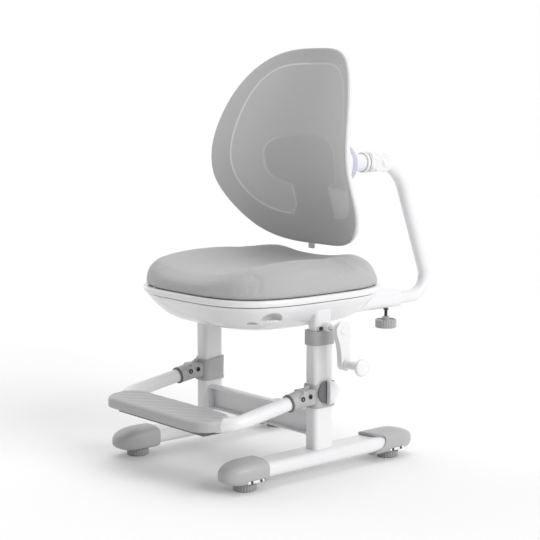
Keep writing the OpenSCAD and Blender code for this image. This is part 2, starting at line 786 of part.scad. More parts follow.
// Everything in front of a surface inside the middle panel, behind the hub
module front_block() loft([for (z = [neck_z - 55 : 10 : neck_z + 55])
    concat([for (k = [-4 : 4]) [k * hub_r / 3, hub_y - 80, z]],
           [for (k = [4 : -1 : -4]) at([k * hub_r / 3, z], 3)])]);

// Round boss that turns the curved panel into a flat seat for the hub
module hub_boss() difference() {
    y_rod(hub_y - 40, hub_y, 0, neck_z, hub_r, hub_r);
    front_block();
}

module hub_bores(y0, y1, r) for (x = [-hub_screw, hub_screw], z = [-hub_screw, hub_screw])
    y_rod(y0, y1, x, neck_z + z, r, r);

module back_frame() color("white") difference() {
    union() {
        rim();
        middle_panel();
        hub_boss();
        translate([tab_x, tab_y, tab_low]) cube([14, 4, 30]);
    }
    hub_bores(hub_y - 40, hub_y + 1, screw_hole);
}

// Mesh stretched over the front of the rim
module back_mesh() color("gray") loft([for (i = [-14 : 14])
    let (o = outline(i * 6.3 + 10 * sin(i * 12.6), 1), w = o[0], z = o[1])
    concat([for (k = [-8 : 8]) at([w * k / 8, z], -mesh_gap - mesh_t)],
           [for (k = [8 : -1 : -8]) at([w * k / 8, z], -mesh_gap)])]);

// Cone behind the middle panel that carries the ball socket
hub_deep = dome_y - hub_y;
screw_deep = 12;

module back_hub() color("white") difference() {
    translate([0, hub_y, neck_z]) rotate([-90, 0, 0]) rotate_extrude() difference() {
        polygon([[38, 0], [hub_r, 0], [40, hub_deep], [16, hub_deep],
            [16, ball_y - hub_y + 3], [0, ball_y - hub_y + 3], [0, hub_deep - 6],
            [34, hub_deep - 6]]);
        translate([0, ball_y - hub_y]) circle(ball_r + run_gap);
    }
    hub_bores(hub_y - 1, hub_y + screw_deep, screw_hole);
}

// Translucent ribbed dome round the ball socket
module flex_disc() color("lightsteelblue") difference() {
    translate([0, dome_y, neck_z]) rotate([-90, 0, 0]) rotate_extrude()
        polygon([for (i = [0 : 6]) [dome_r * cos(i * 11), dome_h * sin(i * 11)],
            [16, dome_h * sin(66)], [16, 0]]);
    translate([0, dome_y, neck_z]) rotate([-90, 0, 0]) rotate_extrude()
        polygon([for (i = [0 : 4]) [(dome_r - 3) * cos(i * 11), 3 + (dome_h - 7) * sin(i * 11)],
            [19, 3 + (dome_h - 7) * sin(44)], [19, 3]]);
}

module frame_screws() color("black")
    for (x = [-hub_screw, hub_screw], z = [-hub_screw, hub_screw])
        y_rod(back_y(x, neck_z + z) + 1.5, hub_y + screw_deep, x, neck_z + z, 2.5, 2.5);

// ---------------------------------------------------------------- nodes

runner(left);  // runner_left
runner(right);  // runner_right
end_cap(left, front);  // front_cap_left
end_cap(right, front);  // front_cap_right
end_cap(left, rear);  // rear_cap_left
end_cap(right, rear);  // rear_cap_right
cap_screws();
foot_nuts();
outer_column(left);  // outer_column_left
outer_column(right);  // outer_column_right
collar(left);  // collar_left
collar(right);  // collar_right
crossbar();
crossbar_rivets();
screw_post();
lead_nut();
foot(left, front);  // foot_front_left
foot(right, front);  // foot_front_right
foot(left, rear);  // foot_rear_left
foot(right, rear);  // foot_rear_right
inner_column(left);  // inner_column_left
inner_column(right);  // inner_column_right
column_glides();
seat_beam();
seat_board();
seat_shell();
seat_cushion();
seat_bolts();
back_receiver();
gear_housing();
shaft_flange();
flange_screws();
lead_screw();
screw_bevel_gear();
drive_shaft();
shaft_bevel_gear();
crank_arm();
grip_spindle();
crank_grip();
clamp_sleeve(left);  // clamp_sleeve_left
clamp_sleeve(right);  // clamp_sleeve_right
arm_socket(left);  // arm_socket_left
arm_socket(right);  // arm_socket_right
socket_screws();
footrest_tube();
pad_bracket();
footrest_pad();
clamp_knob(left);  // clamp_knob_left
clamp_knob(right);  // clamp_knob_right
back_tube();
depth_knob();
neck();
tilt_pin();
neck_ring();
back_hub();
flex_disc();
back_frame();
back_mesh();
frame_screws();
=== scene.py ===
"""Looks of a child's study chair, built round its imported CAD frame.

Shapes are worked out in millimetres in the frame's own axes and turned into meshes in metres.
+Z is up, the sitter faces -Y, and +X is the sitter's left, where the crank is.
"""
import json
import math
import bmesh
import bpy
import numpy as np
from mathutils import Matrix, Vector


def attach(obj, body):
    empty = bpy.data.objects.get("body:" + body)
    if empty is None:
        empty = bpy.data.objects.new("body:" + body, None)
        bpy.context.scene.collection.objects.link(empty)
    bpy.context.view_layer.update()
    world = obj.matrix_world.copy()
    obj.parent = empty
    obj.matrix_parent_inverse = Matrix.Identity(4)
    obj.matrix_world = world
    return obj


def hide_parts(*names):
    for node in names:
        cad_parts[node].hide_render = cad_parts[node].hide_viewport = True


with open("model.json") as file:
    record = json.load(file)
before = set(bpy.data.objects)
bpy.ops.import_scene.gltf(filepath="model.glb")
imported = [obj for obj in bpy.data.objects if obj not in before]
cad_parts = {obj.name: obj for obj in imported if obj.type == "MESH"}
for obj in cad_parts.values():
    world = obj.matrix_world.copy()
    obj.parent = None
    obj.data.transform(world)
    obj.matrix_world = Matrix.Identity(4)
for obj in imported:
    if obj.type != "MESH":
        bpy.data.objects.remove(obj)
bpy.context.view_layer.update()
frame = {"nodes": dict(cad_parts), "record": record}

MM = 0.001
LEFT, RIGHT = 1, -1
FRONT, REAR = -1, 1

# ------------------------------------------------------------------ sizes, in millimetres

COLUMN_X = 155
COLUMN_W, COLUMN_D, COLUMN_ROUND = 29, 45, 8.5
SEAT_A, SEAT_B, SEAT_POWER = 180, 192, 0.59
SEAT_LINE = 320
PARTING_Z = 308.5
TUBE_R = 12.5
CRANK_Z = 262
HUB_X, ARM_THICK = 205, 11
ARM_END = (7, 202)
GRIP_X, GRIP_LEN = 216.3, 42
KNOB_Z, KNOB_R = 148, 20
SLEEVE_LOW, SLEEVE_TOP = 120, 164
ARM_X, ARM_TILT, ARM_REF = 158, 9, (-65, 136.5)
PAD_HALF, PAD_FRONT, PAD_REAR = 147, -257, -180
PAD_LOW, PAD_TOP, PAD_ROUND = 107, 128, 34
BACK_A, BACK_MID, BACK_HIGH, BACK_DEEP = 186, 512, 233, 129
NECK_Z, DOME_Y, DOME_R, DOME_H = 531, 187, 43, 33
PIVOT = (296, 530)
DEPTH_Y = 321
FOOT_Y, BAR_HALF = 171, 140.5


# ------------------------------------------------------------------ mesh helpers

def spow(v, p):
    """Power that keeps the sign, for outlines between an ellipse and a rectangle."""
    return math.copysign(abs(v) ** p, v)


def smoothstep(x, low, high):
    """0 below low, 1 above high, eased between."""
    t = min(max((x - low) / (high - low), 0.0), 1.0)
    return t * t * (3 - 2 * t)


def spline(pairs, x):
    """Smooth value at x through (x, value) pairs in rising order of x."""
    xs, ys = [p[0] for p in pairs], [p[1] for p in pairs]
    if x <= xs[0]:
        return ys[0]
    if x >= xs[-1]:
        return ys[-1]
    i = max(k for k in range(len(xs) - 1) if xs[k] <= x)
    slope = [(ys[min(k + 1, len(xs) - 1)] - ys[max(k - 1, 0)])
             / (xs[min(k + 1, len(xs) - 1)] - xs[max(k - 1, 0)]) for k in (i, i + 1)]
    h = xs[i + 1] - xs[i]
    t = (x - xs[i]) / h
    return ((2 * t ** 3 - 3 * t ** 2 + 1) * ys[i] + (t ** 3 - 2 * t ** 2 + t) * h * slope[0]
            + (-2 * t ** 3 + 3 * t ** 2) * ys[i + 1] + (t ** 3 - t ** 2) * h * slope[1])


def skin(rings, cap_first=True, cap_last=True, close_rings=False):
    """Vertices and faces through rings of equal length, with fans over the open ends."""
    n, m = len(rings[0]), len(rings)
    verts = [p for ring in rings for p in ring]
    faces = []
    for j in range(m if close_rings else m - 1):
        a, b = j * n, ((j + 1) % m) * n
        for i in range(n):
            k = (i + 1) % n
            faces.append((a + i, a + k, b + k, b + i))
    for on, start, flip in ((cap_first, 0, True), (cap_last, (m - 1) * n, False)):
        if on and not close_rings:
            centre = len(verts)
            ring = verts[start:start + n]
            verts.append(tuple(sum(p[c] for p in ring) / n for c in range(3)))
            for i in range(n):
                tri = (start + i, start + (i + 1) % n, centre)
                faces.append(tri[::-1] if flip else tri)
    return verts, faces


def add(name, shape, material, sharp=35, outward=True):
    """A mesh object from vertices in millimetres, shaded smooth up to the sharp angle."""
    verts, faces = shape
    mesh = bpy.data.meshes.new(name)
    mesh.from_pydata([[c * MM for c in v] for v in verts], [], faces)
    if outward:
        work = bmesh.new()
        work.from_mesh(mesh)
        bmesh.ops.recalc_face_normals(work, faces=work.faces)
        work.to_mesh(mesh)
        work.free()
    obj = bpy.data.objects.new(name, mesh)
    bpy.context.collection.objects.link(obj)
    mesh.materials.append(material)
    shade(obj, sharp)
    return obj


def shade(obj, sharp):
    obj.data.shade_smooth()
    obj.data.set_sharp_from_angle(angle=math.radians(sharp))


def modify(obj, kind, **settings):
    """Adds a modifier, applies it, and keeps the object."""
    mod = obj.modifiers.new(kind, kind)
    for key, value in settings.items():
        setattr(mod, key, value)
    graph = bpy.context.evaluated_depsgraph_get()
    made = bpy.data.meshes.new_from_object(obj.evaluated_get(graph))
    old, name = obj.data, obj.data.name
    obj.modifiers.clear()
    obj.data = made
    bpy.data.meshes.remove(old)
    made.name = name


def merge(objs):
    """Joins objects into the first one."""
    work = bmesh.new()
    for o in objs:
        work.from_mesh(o.data)
    work.to_mesh(objs[0].data)
    work.free()
    for o in objs[1:]:
        bpy.data.objects.remove(o)
    return objs[0]


def fuse(objs, voxel, rounds):
    """Melts closed overlapping objects into one and softens the creases between them."""
    obj = merge(objs)
    modify(obj, "REMESH", mode="VOXEL", voxel_size=voxel * MM, adaptivity=0.0)
    modify(obj, "SMOOTH", iterations=rounds, factor=0.5)
    shade(obj, 50)
    return obj


def carve(obj, *cutters):
    """Cuts each cutter out of an object and removes the cutter."""
    for c in cutters:
        modify(obj, "BOOLEAN", operation="DIFFERENCE", object=c, solver="EXACT")
        bpy.data.objects.remove(c)


def lathe(profile, steps=64, ripple=None):
    """Rings round +Z through (height, radius) pairs; ripple(angle, height) scales the radius."""
    def radius(a, h, r):
        return r * (1 + ripple(a, h)) if ripple else r
    angles = [2 * math.pi * i / steps for i in range(steps)]
    return skin([[(radius(a, h, max(r, 0.01)) * math.cos(a), radius(a, h, max(r, 0.01))
                   * math.sin(a), h) for a in angles] for h, r in profile])


def placed(shape, matrix):
    """A shape moved by a matrix."""
    verts, faces = shape
    return [tuple(matrix @ Vector(v)) for v in verts], faces


def to_x(x, y, z, side=LEFT):
    """Turns a shape made round +Z to stand along +X or -X at a point."""
    return Matrix.Translation((x, y, z)) @ Matrix.Rotation(side * math.pi / 2, 4, "Y")


def to_y(x, y, z):
    """Turns a shape made round +Z to stand along +Y at a point."""
    return Matrix.Translation((x, y, z)) @ Matrix.Rotation(-math.pi / 2, 4, "X")


QUARTER = Matrix.Rotation(math.pi / 2, 4, "Z")


def side_name(side):
    return "left" if side == LEFT else "right"


def end_name(end):
    return "front" if end == FRONT else "rear"


def rounded_rect(w, h, r, steps=8):
    """Closed outline of a rectangle with round corners, centred, anticlockwise."""
    out = []
    for k, (sx, sy) in enumerate(((1, 1), (-1, 1), (-1, -1), (1, -1))):
        cx, cy = sx * (w / 2 - r), sy * (h / 2 - r)
        for i in range(steps + 1):
            a = math.radians(90 * k + 90 * i / steps)
            out.append((cx + r * math.cos(a), cy + r * math.sin(a)))
    return out


def slab(outline, z0, z1, edge, steps=4):
    """A plate on a convex outline round the origin, with edges rounded by edge."""
    rings = []
    for z, sign in ((z0, -1), (z1, 1)):
        turn = []
        for i in range(steps + 1):
            a = math.pi / 2 * i / steps
            turn.append((z - sign * edge * (1 - math.cos(a)), edge * (1 - math.sin(a))))
        if sign > 0:
            turn.reverse()
        rings += turn
    out = []
    for z, inset in rings:
        ring = []
        for i, p in enumerate(outline):
            before, after = outline[i - 1], outline[(i + 1) % len(outline)]
            tx, ty = after[0] - before[0], after[1] - before[1]
            length = math.hypot(tx, ty) or 1
            ring.append((p[0] - inset * ty / length, p[1] + inset * tx / length, z))
        out.append(ring)
    return skin(out)


def ellipsoid(centre, radii, n):
    """Closed shape with n points round and n / 2 steps from pole to pole."""
    rings = []
    for j in range(1, n // 2):
        b = -math.pi / 2 + math.pi * j / (n // 2)
        rings.append([(centre[0] + radii[0] * math.cos(b) * math.cos(2 * math.pi * i / n),
                       centre[1] + radii[1] * math.cos(b) * math.sin(2 * math.pi * i / n),
                       centre[2] + radii[2] * math.sin(b)) for i in range(n)])
    return skin(rings)


def finish_piece(obj, body, slot, *nodes):
    """Ties a piece to its body, in place of the named CAD nodes; slot is not used."""
    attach(obj, body)
    if nodes:
        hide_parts(*nodes)


# ------------------------------------------------------------------ materials

class Shader:
    """A small builder for one procedural material in object coordinates, in metres."""

    def __init__(self, name):
        self.material = bpy.data.materials.new(name)
        self.material.use_nodes = True
        self.tree = self.material.node_tree
        self.bsdf = self.tree.nodes["Principled BSDF"]
        self.output = self.tree.nodes["Material Output"]
        self.place = self.node("ShaderNodeTexCoord").outputs["Object"]

    def node(self, kind, **settings):
        made = self.tree.nodes.new(kind)
        for key, value in settings.items():
            if key in made.inputs:
                made.inputs[key].default_value = value
            else:
                setattr(made, key, value)
        return made

    def link(self, start, end):
        self.tree.links.new(start, end)

    def set(self, **values):
        for key, value in values.items():
            self.bsdf.inputs[key.replace("_", " ")].default_value = value
        return self

    def noise(self, size, detail=2.0, stretch=(1, 1, 1)):
        """Noise with features of about size millimetres, from 0 to 1."""
        mapped = self.node("ShaderNodeMapping")
        mapped.inputs["Scale"].default_value = stretch
        self.link(self.place, mapped.inputs["Vector"])
        made = self.node("ShaderNodeTexNoise", Scale=1 / (size * MM), Detail=detail)
        self.link(mapped.outputs["Vector"], made.inputs["Vector"])
        return made.outputs["Fac"]

    def math(self, operation, *values):
        """A sum, product or function of numbers and sockets."""
        made = self.node("ShaderNodeMath", operation=operation)
        for i, value in enumerate(values):
            if isinstance(value, (int, float)):
                made.inputs[i].default_value = value
            else:
                self.link(value, made.inputs[i])
        return made.outputs[0]

    def span(self, value, low, high, from_low=0.0, from_high=1.0):
        """The value's range, moved to run from low to high."""
        made = self.node("ShaderNodeMapRange")
        self.link(value, made.inputs["Value"])
        for key, number in (("From Min", from_low), ("From Max", from_high),
                            ("To Min", low), ("To Max", high)):
            made.inputs[key].default_value = number
        return made.outputs["Result"]

    def mix(self, factor, a, b):
        """Colour from a to b. A colour mix node has its colours at inputs 6 and 7."""
        made = self.node("ShaderNodeMix", data_type="RGBA")
        self.link(factor, made.inputs["Factor"])
        for i, value in ((6, a), (7, b)):
            if isinstance(value, tuple):
                made.inputs[i].default_value = (*value, 1.0)
            else:
                self.link(value, made.inputs[i])
        return made.outputs[2]

    def colour(self, value):
        self.link(value, self.bsdf.inputs["Base Color"])
        return self

    def rough(self, value):
        self.link(value, self.bsdf.inputs["Roughness"])
        return self

    def bump(self, height, distance):
        """Bump of distance millimetres at height 1."""
        made = self.node("ShaderNodeBump", Distance=distance * MM, Strength=1.0)
        self.link(height, made.inputs["Height"])
        for name in ("Normal", "Coat Normal"):
            self.link(made.outputs["Normal"], self.bsdf.inputs[name])
        return self

    def axis(self, letter):
        made = self.node("ShaderNodeSeparateXYZ")
        self.link(self.place, made.inputs[0])
        return made.outputs[letter]

    def edges(self):
        """1 along sharp convex edges, 0 elsewhere."""
        made = self.node("ShaderNodeNewGeometry")
        return self.span(made.outputs["Pointiness"], 0.0, 1.0, 0.52, 0.6)


def tint(colour, factor):
    """A lighter or darker tone of a colour."""
    return tuple(min(c * factor, 1.0) for c in colour)


def coated(name, colour, rough, grain, depth, coat=0.0, wear=0.95):
    """Paint or moulded plastic: a fine grain, faint mottling and slightly rubbed edges."""
    s = Shader(name)
    mottle = s.mix(s.span(s.noise(45, 3), 0, 1), tint(colour, 0.985), tint(colour, 1.01))
    s.colour(s.mix(s.math("MULTIPLY", s.edges(), s.noise(6)), mottle, tint(colour, wear)))
    s.rough(s.span(s.noise(9, 4), rough - 0.05, rough + 0.07))
    s.bump(s.noise(grain, 3), depth)
    return s.set(Coat_Weight=coat, Coat_Roughness=0.12, Specular_IOR_Level=0.5).material


def metal(name, colour, rough, stretch=(1, 1, 1)):
    """Bare or plated metal, with its grain drawn out along the stretched axis."""
    s = Shader(name)
    grain = 0.8
    s.colour(s.mix(s.noise(12, 3), tint(colour, 0.9), colour))
    s.rough(s.span(s.noise(grain, 3, stretch), rough - 0.08, rough + 0.12))
    s.bump(s.noise(grain, 2, stretch), 0.02)
    return s.set(Metallic=1.0).material


def woven(name, colour, pitch):
    """Knitted seat fabric: fine ribs crossed by rows of stitches, with a soft sheen."""
    s = Shader(name)
    wave = 2 * math.pi / (pitch * MM)
    across = s.math("SINE", s.math("MULTIPLY", s.axis("X"), wave))
    along = s.math("SINE", s.math("MULTIPLY", s.axis("Y"), wave))
    up = s.math("SINE", s.math("MULTIPLY", s.axis("Z"), wave))
    stitch = s.math("MULTIPLY", s.math("ADD", across, up), along)
    height = s.math("ADD", s.math("MULTIPLY", stitch, 0.3), s.noise(pitch * 0.5, 3))
    base = s.mix(s.span(stitch, 0, 1, -1.4, 1.4), tint(colour, 0.9), tint(colour, 1.06))
    s.colour(s.mix(s.span(s.noise(30, 3), 0, 0.5), base, tint(colour, 0.96)))
    s.rough(s.span(s.noise(2, 2), 0.82, 0.98))
    s.bump(height, 0.35)
    return s.set(Sheen_Weight=0.35, Sheen_Roughness=0.5, Specular_IOR_Level=0.2).material


def netting(name, colour, pitch, open_share):
    """Stretched open mesh: rows of round holes that let what is behind show through."""
    s = Shader(name)
    wave = 2 * math.pi / (pitch * MM)
    x = s.math("MULTIPLY", s.axis("X"), wave)
    z = s.math("MULTIPLY", s.axis("Z"), wave)
    cells = s.math("MULTIPLY", s.math("COSINE", x), s.math("COSINE", z))
    hole = s.span(cells, 0.0, 1.0, 0.25, 0.75)
    thread = s.noise(pitch * 0.3, 2)
    base = s.mix(thread, tint(colour, 0.92), tint(colour, 1.06))
    knit = s.mix(s.span(cells, 0, 1, -1, 1), base, tint(colour, 0.94))
    painted_highlight = s.node("ShaderNodeAttribute", attribute_name="painted_highlight").outputs["Fac"]
    # Painted highlight: lighter threads where the mesh lies over the frame's edges, standing in
    # for the frame's lit edges seen through it
    s.colour(s.mix(s.math("MULTIPLY", painted_highlight, 0.8), knit, tint(colour, 1.6)))
    s.rough(s.span(thread, 0.75, 0.95))
    s.bump(s.math("SUBTRACT", 1.0, hole), 0.25)
    s.set(Specular_IOR_Level=0.15)
    gap = s.node("ShaderNodeBsdfTransparent")
    blend = s.node("ShaderNodeMixShader")
    share = s.math("ADD", s.math("MULTIPLY", hole, open_share), open_share * 0.2)
    s.link(share, blend.inputs[0])
    s.link(s.bsdf.outputs[0], blend.inputs[1])
    s.link(gap.outputs[0], blend.inputs[2])
    s.link(blend.outputs[0], s.output.inputs["Surface"])
    return s.material


def grained_wood(name, light, dark):
    """Plywood with long grain."""
    s = Shader(name)
    grain = s.noise(3, 5, (0.08, 1, 1))
    s.colour(s.mix(grain, dark, light))
    s.rough(s.span(grain, 0.55, 0.75))
    return s.bump(grain, 0.1).material


def tinted_dome(name, pale, deep):
    """Translucent elastic dome, with darker rings and fine spokes round the neck's axis."""
    s = Shader(name)
    x = s.axis("X")
    z = s.math("SUBTRACT", s.axis("Z"), NECK_Z * MM)
    radius = s.math("SQRT", s.math("ADD", s.math("MULTIPLY", x, x), s.math("MULTIPLY", z, z)))
    rings = s.math("SINE", s.math("MULTIPLY", radius, 2 * math.pi / (9 * MM)))
    spokes = s.math("SINE", s.math("MULTIPLY", s.math("ARCTAN2", z, x), 36.0))
    mark = s.math("MULTIPLY", s.span(rings, 0, 1, 0.2, 0.9), s.span(spokes, 0.3, 1, -1, 0.6))
    s.colour(s.mix(mark, pale, deep))
    s.rough(s.span(s.noise(4), 0.25, 0.4))
    s.bump(spokes, 0.15)
    return s.set(Subsurface_Weight=0.4, Subsurface_Scale=0.01, Coat_Weight=0.3).material


WHITE = (0.75, 0.75, 0.76)
LOOKS = {
    "white_paint": coated("white_paint", WHITE, 0.32, 1.2, 0.02, coat=0.2),
    "white_plastic": coated("white_plastic", WHITE, 0.24, 3.0, 0.01, coat=0.35),
    "grey_plastic": coated("grey_plastic", (0.40, 0.40, 0.405), 0.4, 0.7, 0.03),
    "dark_plastic": coated("dark_plastic", (0.12, 0.12, 0.125), 0.5, 0.7, 0.03, wear=1.3),
    "bare_steel": metal("bare_steel", (0.62, 0.62, 0.63), 0.38, (1, 1, 0.1)),
    "chrome_steel": metal("chrome_steel", (0.75, 0.75, 0.77), 0.14),
    "brass": metal("brass", (0.72, 0.52, 0.22), 0.3),
    "black_screw": coated("black_screw", (0.02, 0.02, 0.02), 0.35, 0.6, 0.02, wear=2.5),
    "seat_fabric": woven("seat_fabric", (0.45, 0.45, 0.45), 1.6),
    "mesh_fabric": netting("mesh_fabric", (0.58, 0.58, 0.58), 2.4, 0.08),
    "board": grained_wood("board", (0.62, 0.46, 0.28), (0.45, 0.31, 0.18)),
    "tinted_flex": tinted_dome("tinted_flex", (0.46, 0.48, 0.62), (0.20, 0.22, 0.42)),
    "rubber_grey": coated("rubber_grey", (0.31, 0.31, 0.315), 0.6, 0.5, 0.05),
}

white, grey = LOOKS["white_plastic"], LOOKS["grey_plastic"]

# Every CAD node carried over gets the look of its slot
for part in frame["record"]["subparts"]:
    node, look = frame["nodes"][part["node"]], LOOKS[part["material_slot"]]
    if not node.material_slots:
        node.data.materials.append(look)
    for held in node.material_slots:
        held.material = look


def make(name, shape, slot, body, *nodes, sharp=35):
    """Adds a finished piece in one step."""
    finish_piece(add(name, shape, LOOKS[slot], sharp), body, slot, *nodes)


# ------------------------------------------------------------------ seat

def seat_ring(s, z, n=160):
    """Outline of the seat at height z, scaled by s about its middle."""
    return [(s * SEAT_A * spow(math.cos(2 * math.pi * i / n), SEAT_POWER),
             s * SEAT_B * spow(math.sin(2 * math.pi * i / n), SEAT_POWER), z) for i in range(n)]


PADDING_MIN, BOLSTER, REAR_LIFT = 30, 24, 12
CUSHION_SHARE, CUSHION_SOFT = 0.985, 80
SWELL = 3


def padding(x, y):
    """Thickness of the cushion over the seat line: a crest along each side and a low swell
    across the rear, which ends before the backrest's lowest reach."""
    u, v = x / SEAT_A, y / SEAT_B
    crest = math.exp(-((abs(u) - 0.7) / 0.33) ** 2 - ((v + 0.12) / 0.92) ** 2)
    rear = REAR_LIFT * smoothstep(v, 0.2, 0.7) * (1 - 0.85 * smoothstep(v, 0.72, 0.92))
    rear *= 1 - 0.7 * smoothstep(abs(u), 0.5, 0.95)
    return PADDING_MIN + BOLSTER * crest + rear


def cushion():
    """Cushion from (scale, height) rings at its side and (scale, share of the padding) rings
    over its top, rounder towards the rear, then swollen by cloth simulation."""
    side = ((0.80, 319.6), (0.90, 319.6), (0.955, 319.8), (0.985, 321), (0.997, 324.5),
            (1.0, 330), (0.997, 335))
    top = ((0.99, 0.6), (0.972, 0.74), (0.945, 0.85), (0.905, 0.93), (0.85, 0.97),
           (0.785, 0.99), (0.70, 1), (0.6, 1), (0.48, 1), (0.36, 1), (0.24, 1), (0.12, 1),
           (0.03, 1))
    rings = [seat_ring(s * CUSHION_SHARE, z, 128) for s, z in side]
    rings += [[(x, y, SEAT_LINE + padding(x, y) * share ** (1 + smoothstep(y, 40, SEAT_B)))
               for x, y, _ in seat_ring(s * CUSHION_SHARE, 0, 128)] for s, share in top]
    obj = add("seat_pad", skin(rings), LOOKS["seat_fabric"], CUSHION_SOFT)
    inflate(obj, voxel=5, pressure=3.0, cap=SWELL)
    work = bmesh.new()
    work.from_mesh(obj.data)
    floor = SEAT_LINE * MM
    for v in work.verts:
        if v.co.z < floor:
            v.co.z = floor
    work.to_mesh(obj.data)
    work.free()
    modify(obj, "SMOOTH", iterations=3, factor=0.5)
    shade(obj, CUSHION_SOFT)
    finish_piece(obj, "seat_lift", "seat_fabric", "seat_cushion")


def inflate(obj, voxel, pressure, cap):
    """Swells a padded cover by cloth simulation. Its lower edge is held, and each point's
    move is capped."""
    modify(obj, "REMESH", mode="VOXEL", voxel_size=voxel * MM)
    start = np.empty(len(obj.data.vertices) * 3)
    obj.data.vertices.foreach_get("co", start)
    hold = obj.vertex_groups.new(name="hold")
    held_below = (SEAT_LINE + 4) * MM
    hold.add([v.index for v in obj.data.vertices if v.co.z < held_below], 1.0, "REPLACE")
    mod = obj.modifiers.new("Cloth", "CLOTH")
    cloth = mod.settings
    cloth.vertex_group_mass = "hold"
    cloth.use_pressure = True
    cloth.uniform_pressure_force = pressure
    cloth.effector_weights.gravity = 0.0
    cloth.quality = 5
    scene = bpy.context.scene
    for f in range(1, 21):
        scene.frame_set(f)
    graph = bpy.context.evaluated_depsgraph_get()
    swollen = np.empty_like(start)
    obj.evaluated_get(graph).data.vertices.foreach_get("co", swollen)
    obj.modifiers.remove(mod)
    obj.vertex_groups.remove(hold)
    scene.frame_set(1)
    move = (swollen - start).reshape(-1, 3)
    length = np.linalg.norm(move, axis=1, keepdims=True)
    move *= np.minimum(1.0, cap * MM / np.maximum(length, 1e-9))
    obj.data.vertices.foreach_set("co", (start.reshape(-1, 3) + move).ravel())
    obj.data.update()
    modify(obj, "SUBSURF", levels=1, render_levels=1)


cushion()

# Rounded lip between shell and cushion, as (scale, height)
rim_profile = ((0.984, PARTING_Z), (0.997, PARTING_Z + 0.8), (1.003, PARTING_Z + 4),
               (1.005, 315), (1.003, 318), (0.997, 319.8), (0.985, 320.4), (0.96, 320.2),
               (0.955, 318), (0.95, PARTING_Z + 1), (0.96, PARTING_Z))
make("seat_rim", skin([seat_ring(s, z) for s, z in rim_profile], close_rings=True),
     "white_plastic", "seat_lift")


def seat_bowl():
    """Shell under the seat, blown into the round spout that carries the back tube."""
    spout_start, spout_end, wall = 60, 353, 2.4
    profile = ((0.3, 255.4), (0.5, 255.6), (0.58, 256.4), (0.68, 259.2), (0.76, 264.6),
               (0.83, 273.2), (0.89, 284.5), (0.94, 295.5), (0.97, 303.5), (0.98, 308),
               (0.9, 308.01))
    bowl = add("seat_bowl", skin([seat_ring(s, z) for s, z in profile]), white)
    half = ((60, 70), (120, 66), (160, 55), (190, 40), (215, 29), (245, 21.5), (280, 18.3),
            (330, 17.4), (spout_end, 17))
    top = ((60, 290), (150, 303), (190, 303.5), (220, 299.5), (260, 291), (300, 284),
           (345, 277), (spout_end, 275.5))
    low = ((60, 262), (110, 252), (150, 246), (185, 243), (210, 242), (spout_end, 242))
    rings = []
    for i in range(60):
        y = spout_start + (spout_end - spout_start) * i / 59
        w, t, b = spline(half, y), spline(top, y), spline(low, y)
        ring = []
        for j in range(48):
            a = 2 * math.pi * j / 48
            ring.append((w * spow(math.cos(a), 0.85), y,
                         (t + b) / 2 + (t - b) / 2 * spow(math.sin(a), 0.85)))
        rings.append(ring)
    spout = add("spout", skin(rings), white)
    shell = fuse([bowl, spout], 2.4, 10)

    # Hand-holds with flat roofs, and a low slot in front of each
    scoops = []
    for side in (LEFT, RIGHT):
        verts, faces = ellipsoid((side * 150, -106, 283), (18, 20, 18), 64)
        scoops.append(add("scoop", ([(x, y, max(z, 281)) for x, y, z in verts], faces), white))
    slots = [add("slot", ellipsoid((side * 127, -131, 277), (9, 9, 3), 32), white)
             for side in (LEFT, RIGHT)]
    carve(shell, *scoops, *slots)

    # Open above the parting line and at the spout's mouth, then give the skin its wall
    work = bmesh.new()
    work.from_mesh(shell.data)
    gone = [f for f in work.faces
            if (f.calc_center_median().z > (PARTING_Z - 2) * MM and f.normal.z > 0.7)
            or f.calc_center_median().y > (spout_end - 0.7) * MM]
    bmesh.ops.delete(work, geom=gone, context="FACES")
    work.to_mesh(shell.data)
    work.free()
    modify(shell, "SOLIDIFY", thickness=wall * MM, offset=-1.0)
    shade(shell, 40)
    finish_piece(shell, "seat_lift", "white_plastic", "seat_shell", "back_receiver")


seat_bowl()

# ------------------------------------------------------------------ backrest

WINDOW_A, WINDOW_MID, WINDOW_HIGH, WINDOW_DEEP = 155, 540, 178, 104
STEM_HALF, HEAD_HALF, HEAD_MID, HEAD_HIGH = 50, 97, 540, 48
DISH = 0.0023
BEND_Y, BEND_HIGH, BEND_MID, BEND_LOW = 109, 575, 560, 415
SWEEP, KICK = 22.5, 31.5


def mid_y(z):
    """Line down the middle of the back: upright, swept back above, kicked back below."""
    if z > BEND_HIGH:
        rise = (z - BEND_HIGH) / (BACK_MID + BACK_HIGH - BEND_HIGH)
        return BEND_Y + SWEEP * rise ** 1.2
    drop = min(max((BEND_MID - z) / (BEND_MID - BEND_LOW), 0), 1)
    return BEND_Y + KICK * (1 - math.cos(math.pi * drop)) / 2


def on_back(x, z, t):
    """Point t behind the curved surface that the backrest follows."""
    return (x, mid_y(z) - DISH * x * x + t, z)


def outline(a):
    """Outer edge of the back, as x and z at angle a."""
    c, n = math.cos(a), math.sin(a)
    rise = BACK_HIGH * n ** 1.016 if n > 0 else -BACK_DEEP * (-n) ** 1.127
    return BACK_A * spow(c, 0.644), BACK_MID + rise


def window(a):
    """Edge of the opening that the mesh spans, as x and z at angle a."""
    c, n = math.cos(a), math.sin(a)
    rise = WINDOW_HIGH * n ** 1.25 if n > 0 else -WINDOW_DEEP * (-n) ** 0.909
    return WINDOW_A * spow(c, 0.5), WINDOW_MID + rise


# Section of the rim: share of the way from window to outer edge, and depth behind the surface
RIM_SECTION = ((0.0, 1.0), (0.06, 0.2), (0.5, 0.8), (0.9, 0.2), (0.965, 0.8), (0.99, 2.6),
               (1.0, 5.5), (1.0, 9.5), (0.985, 12), (0.95, 12.4), (0.92, 10.5), (0.89, 6.2),
               (0.5, 5), (0.12, 5.2), (0.08, 8.5), (0.03, 9.2), (0.0, 8))


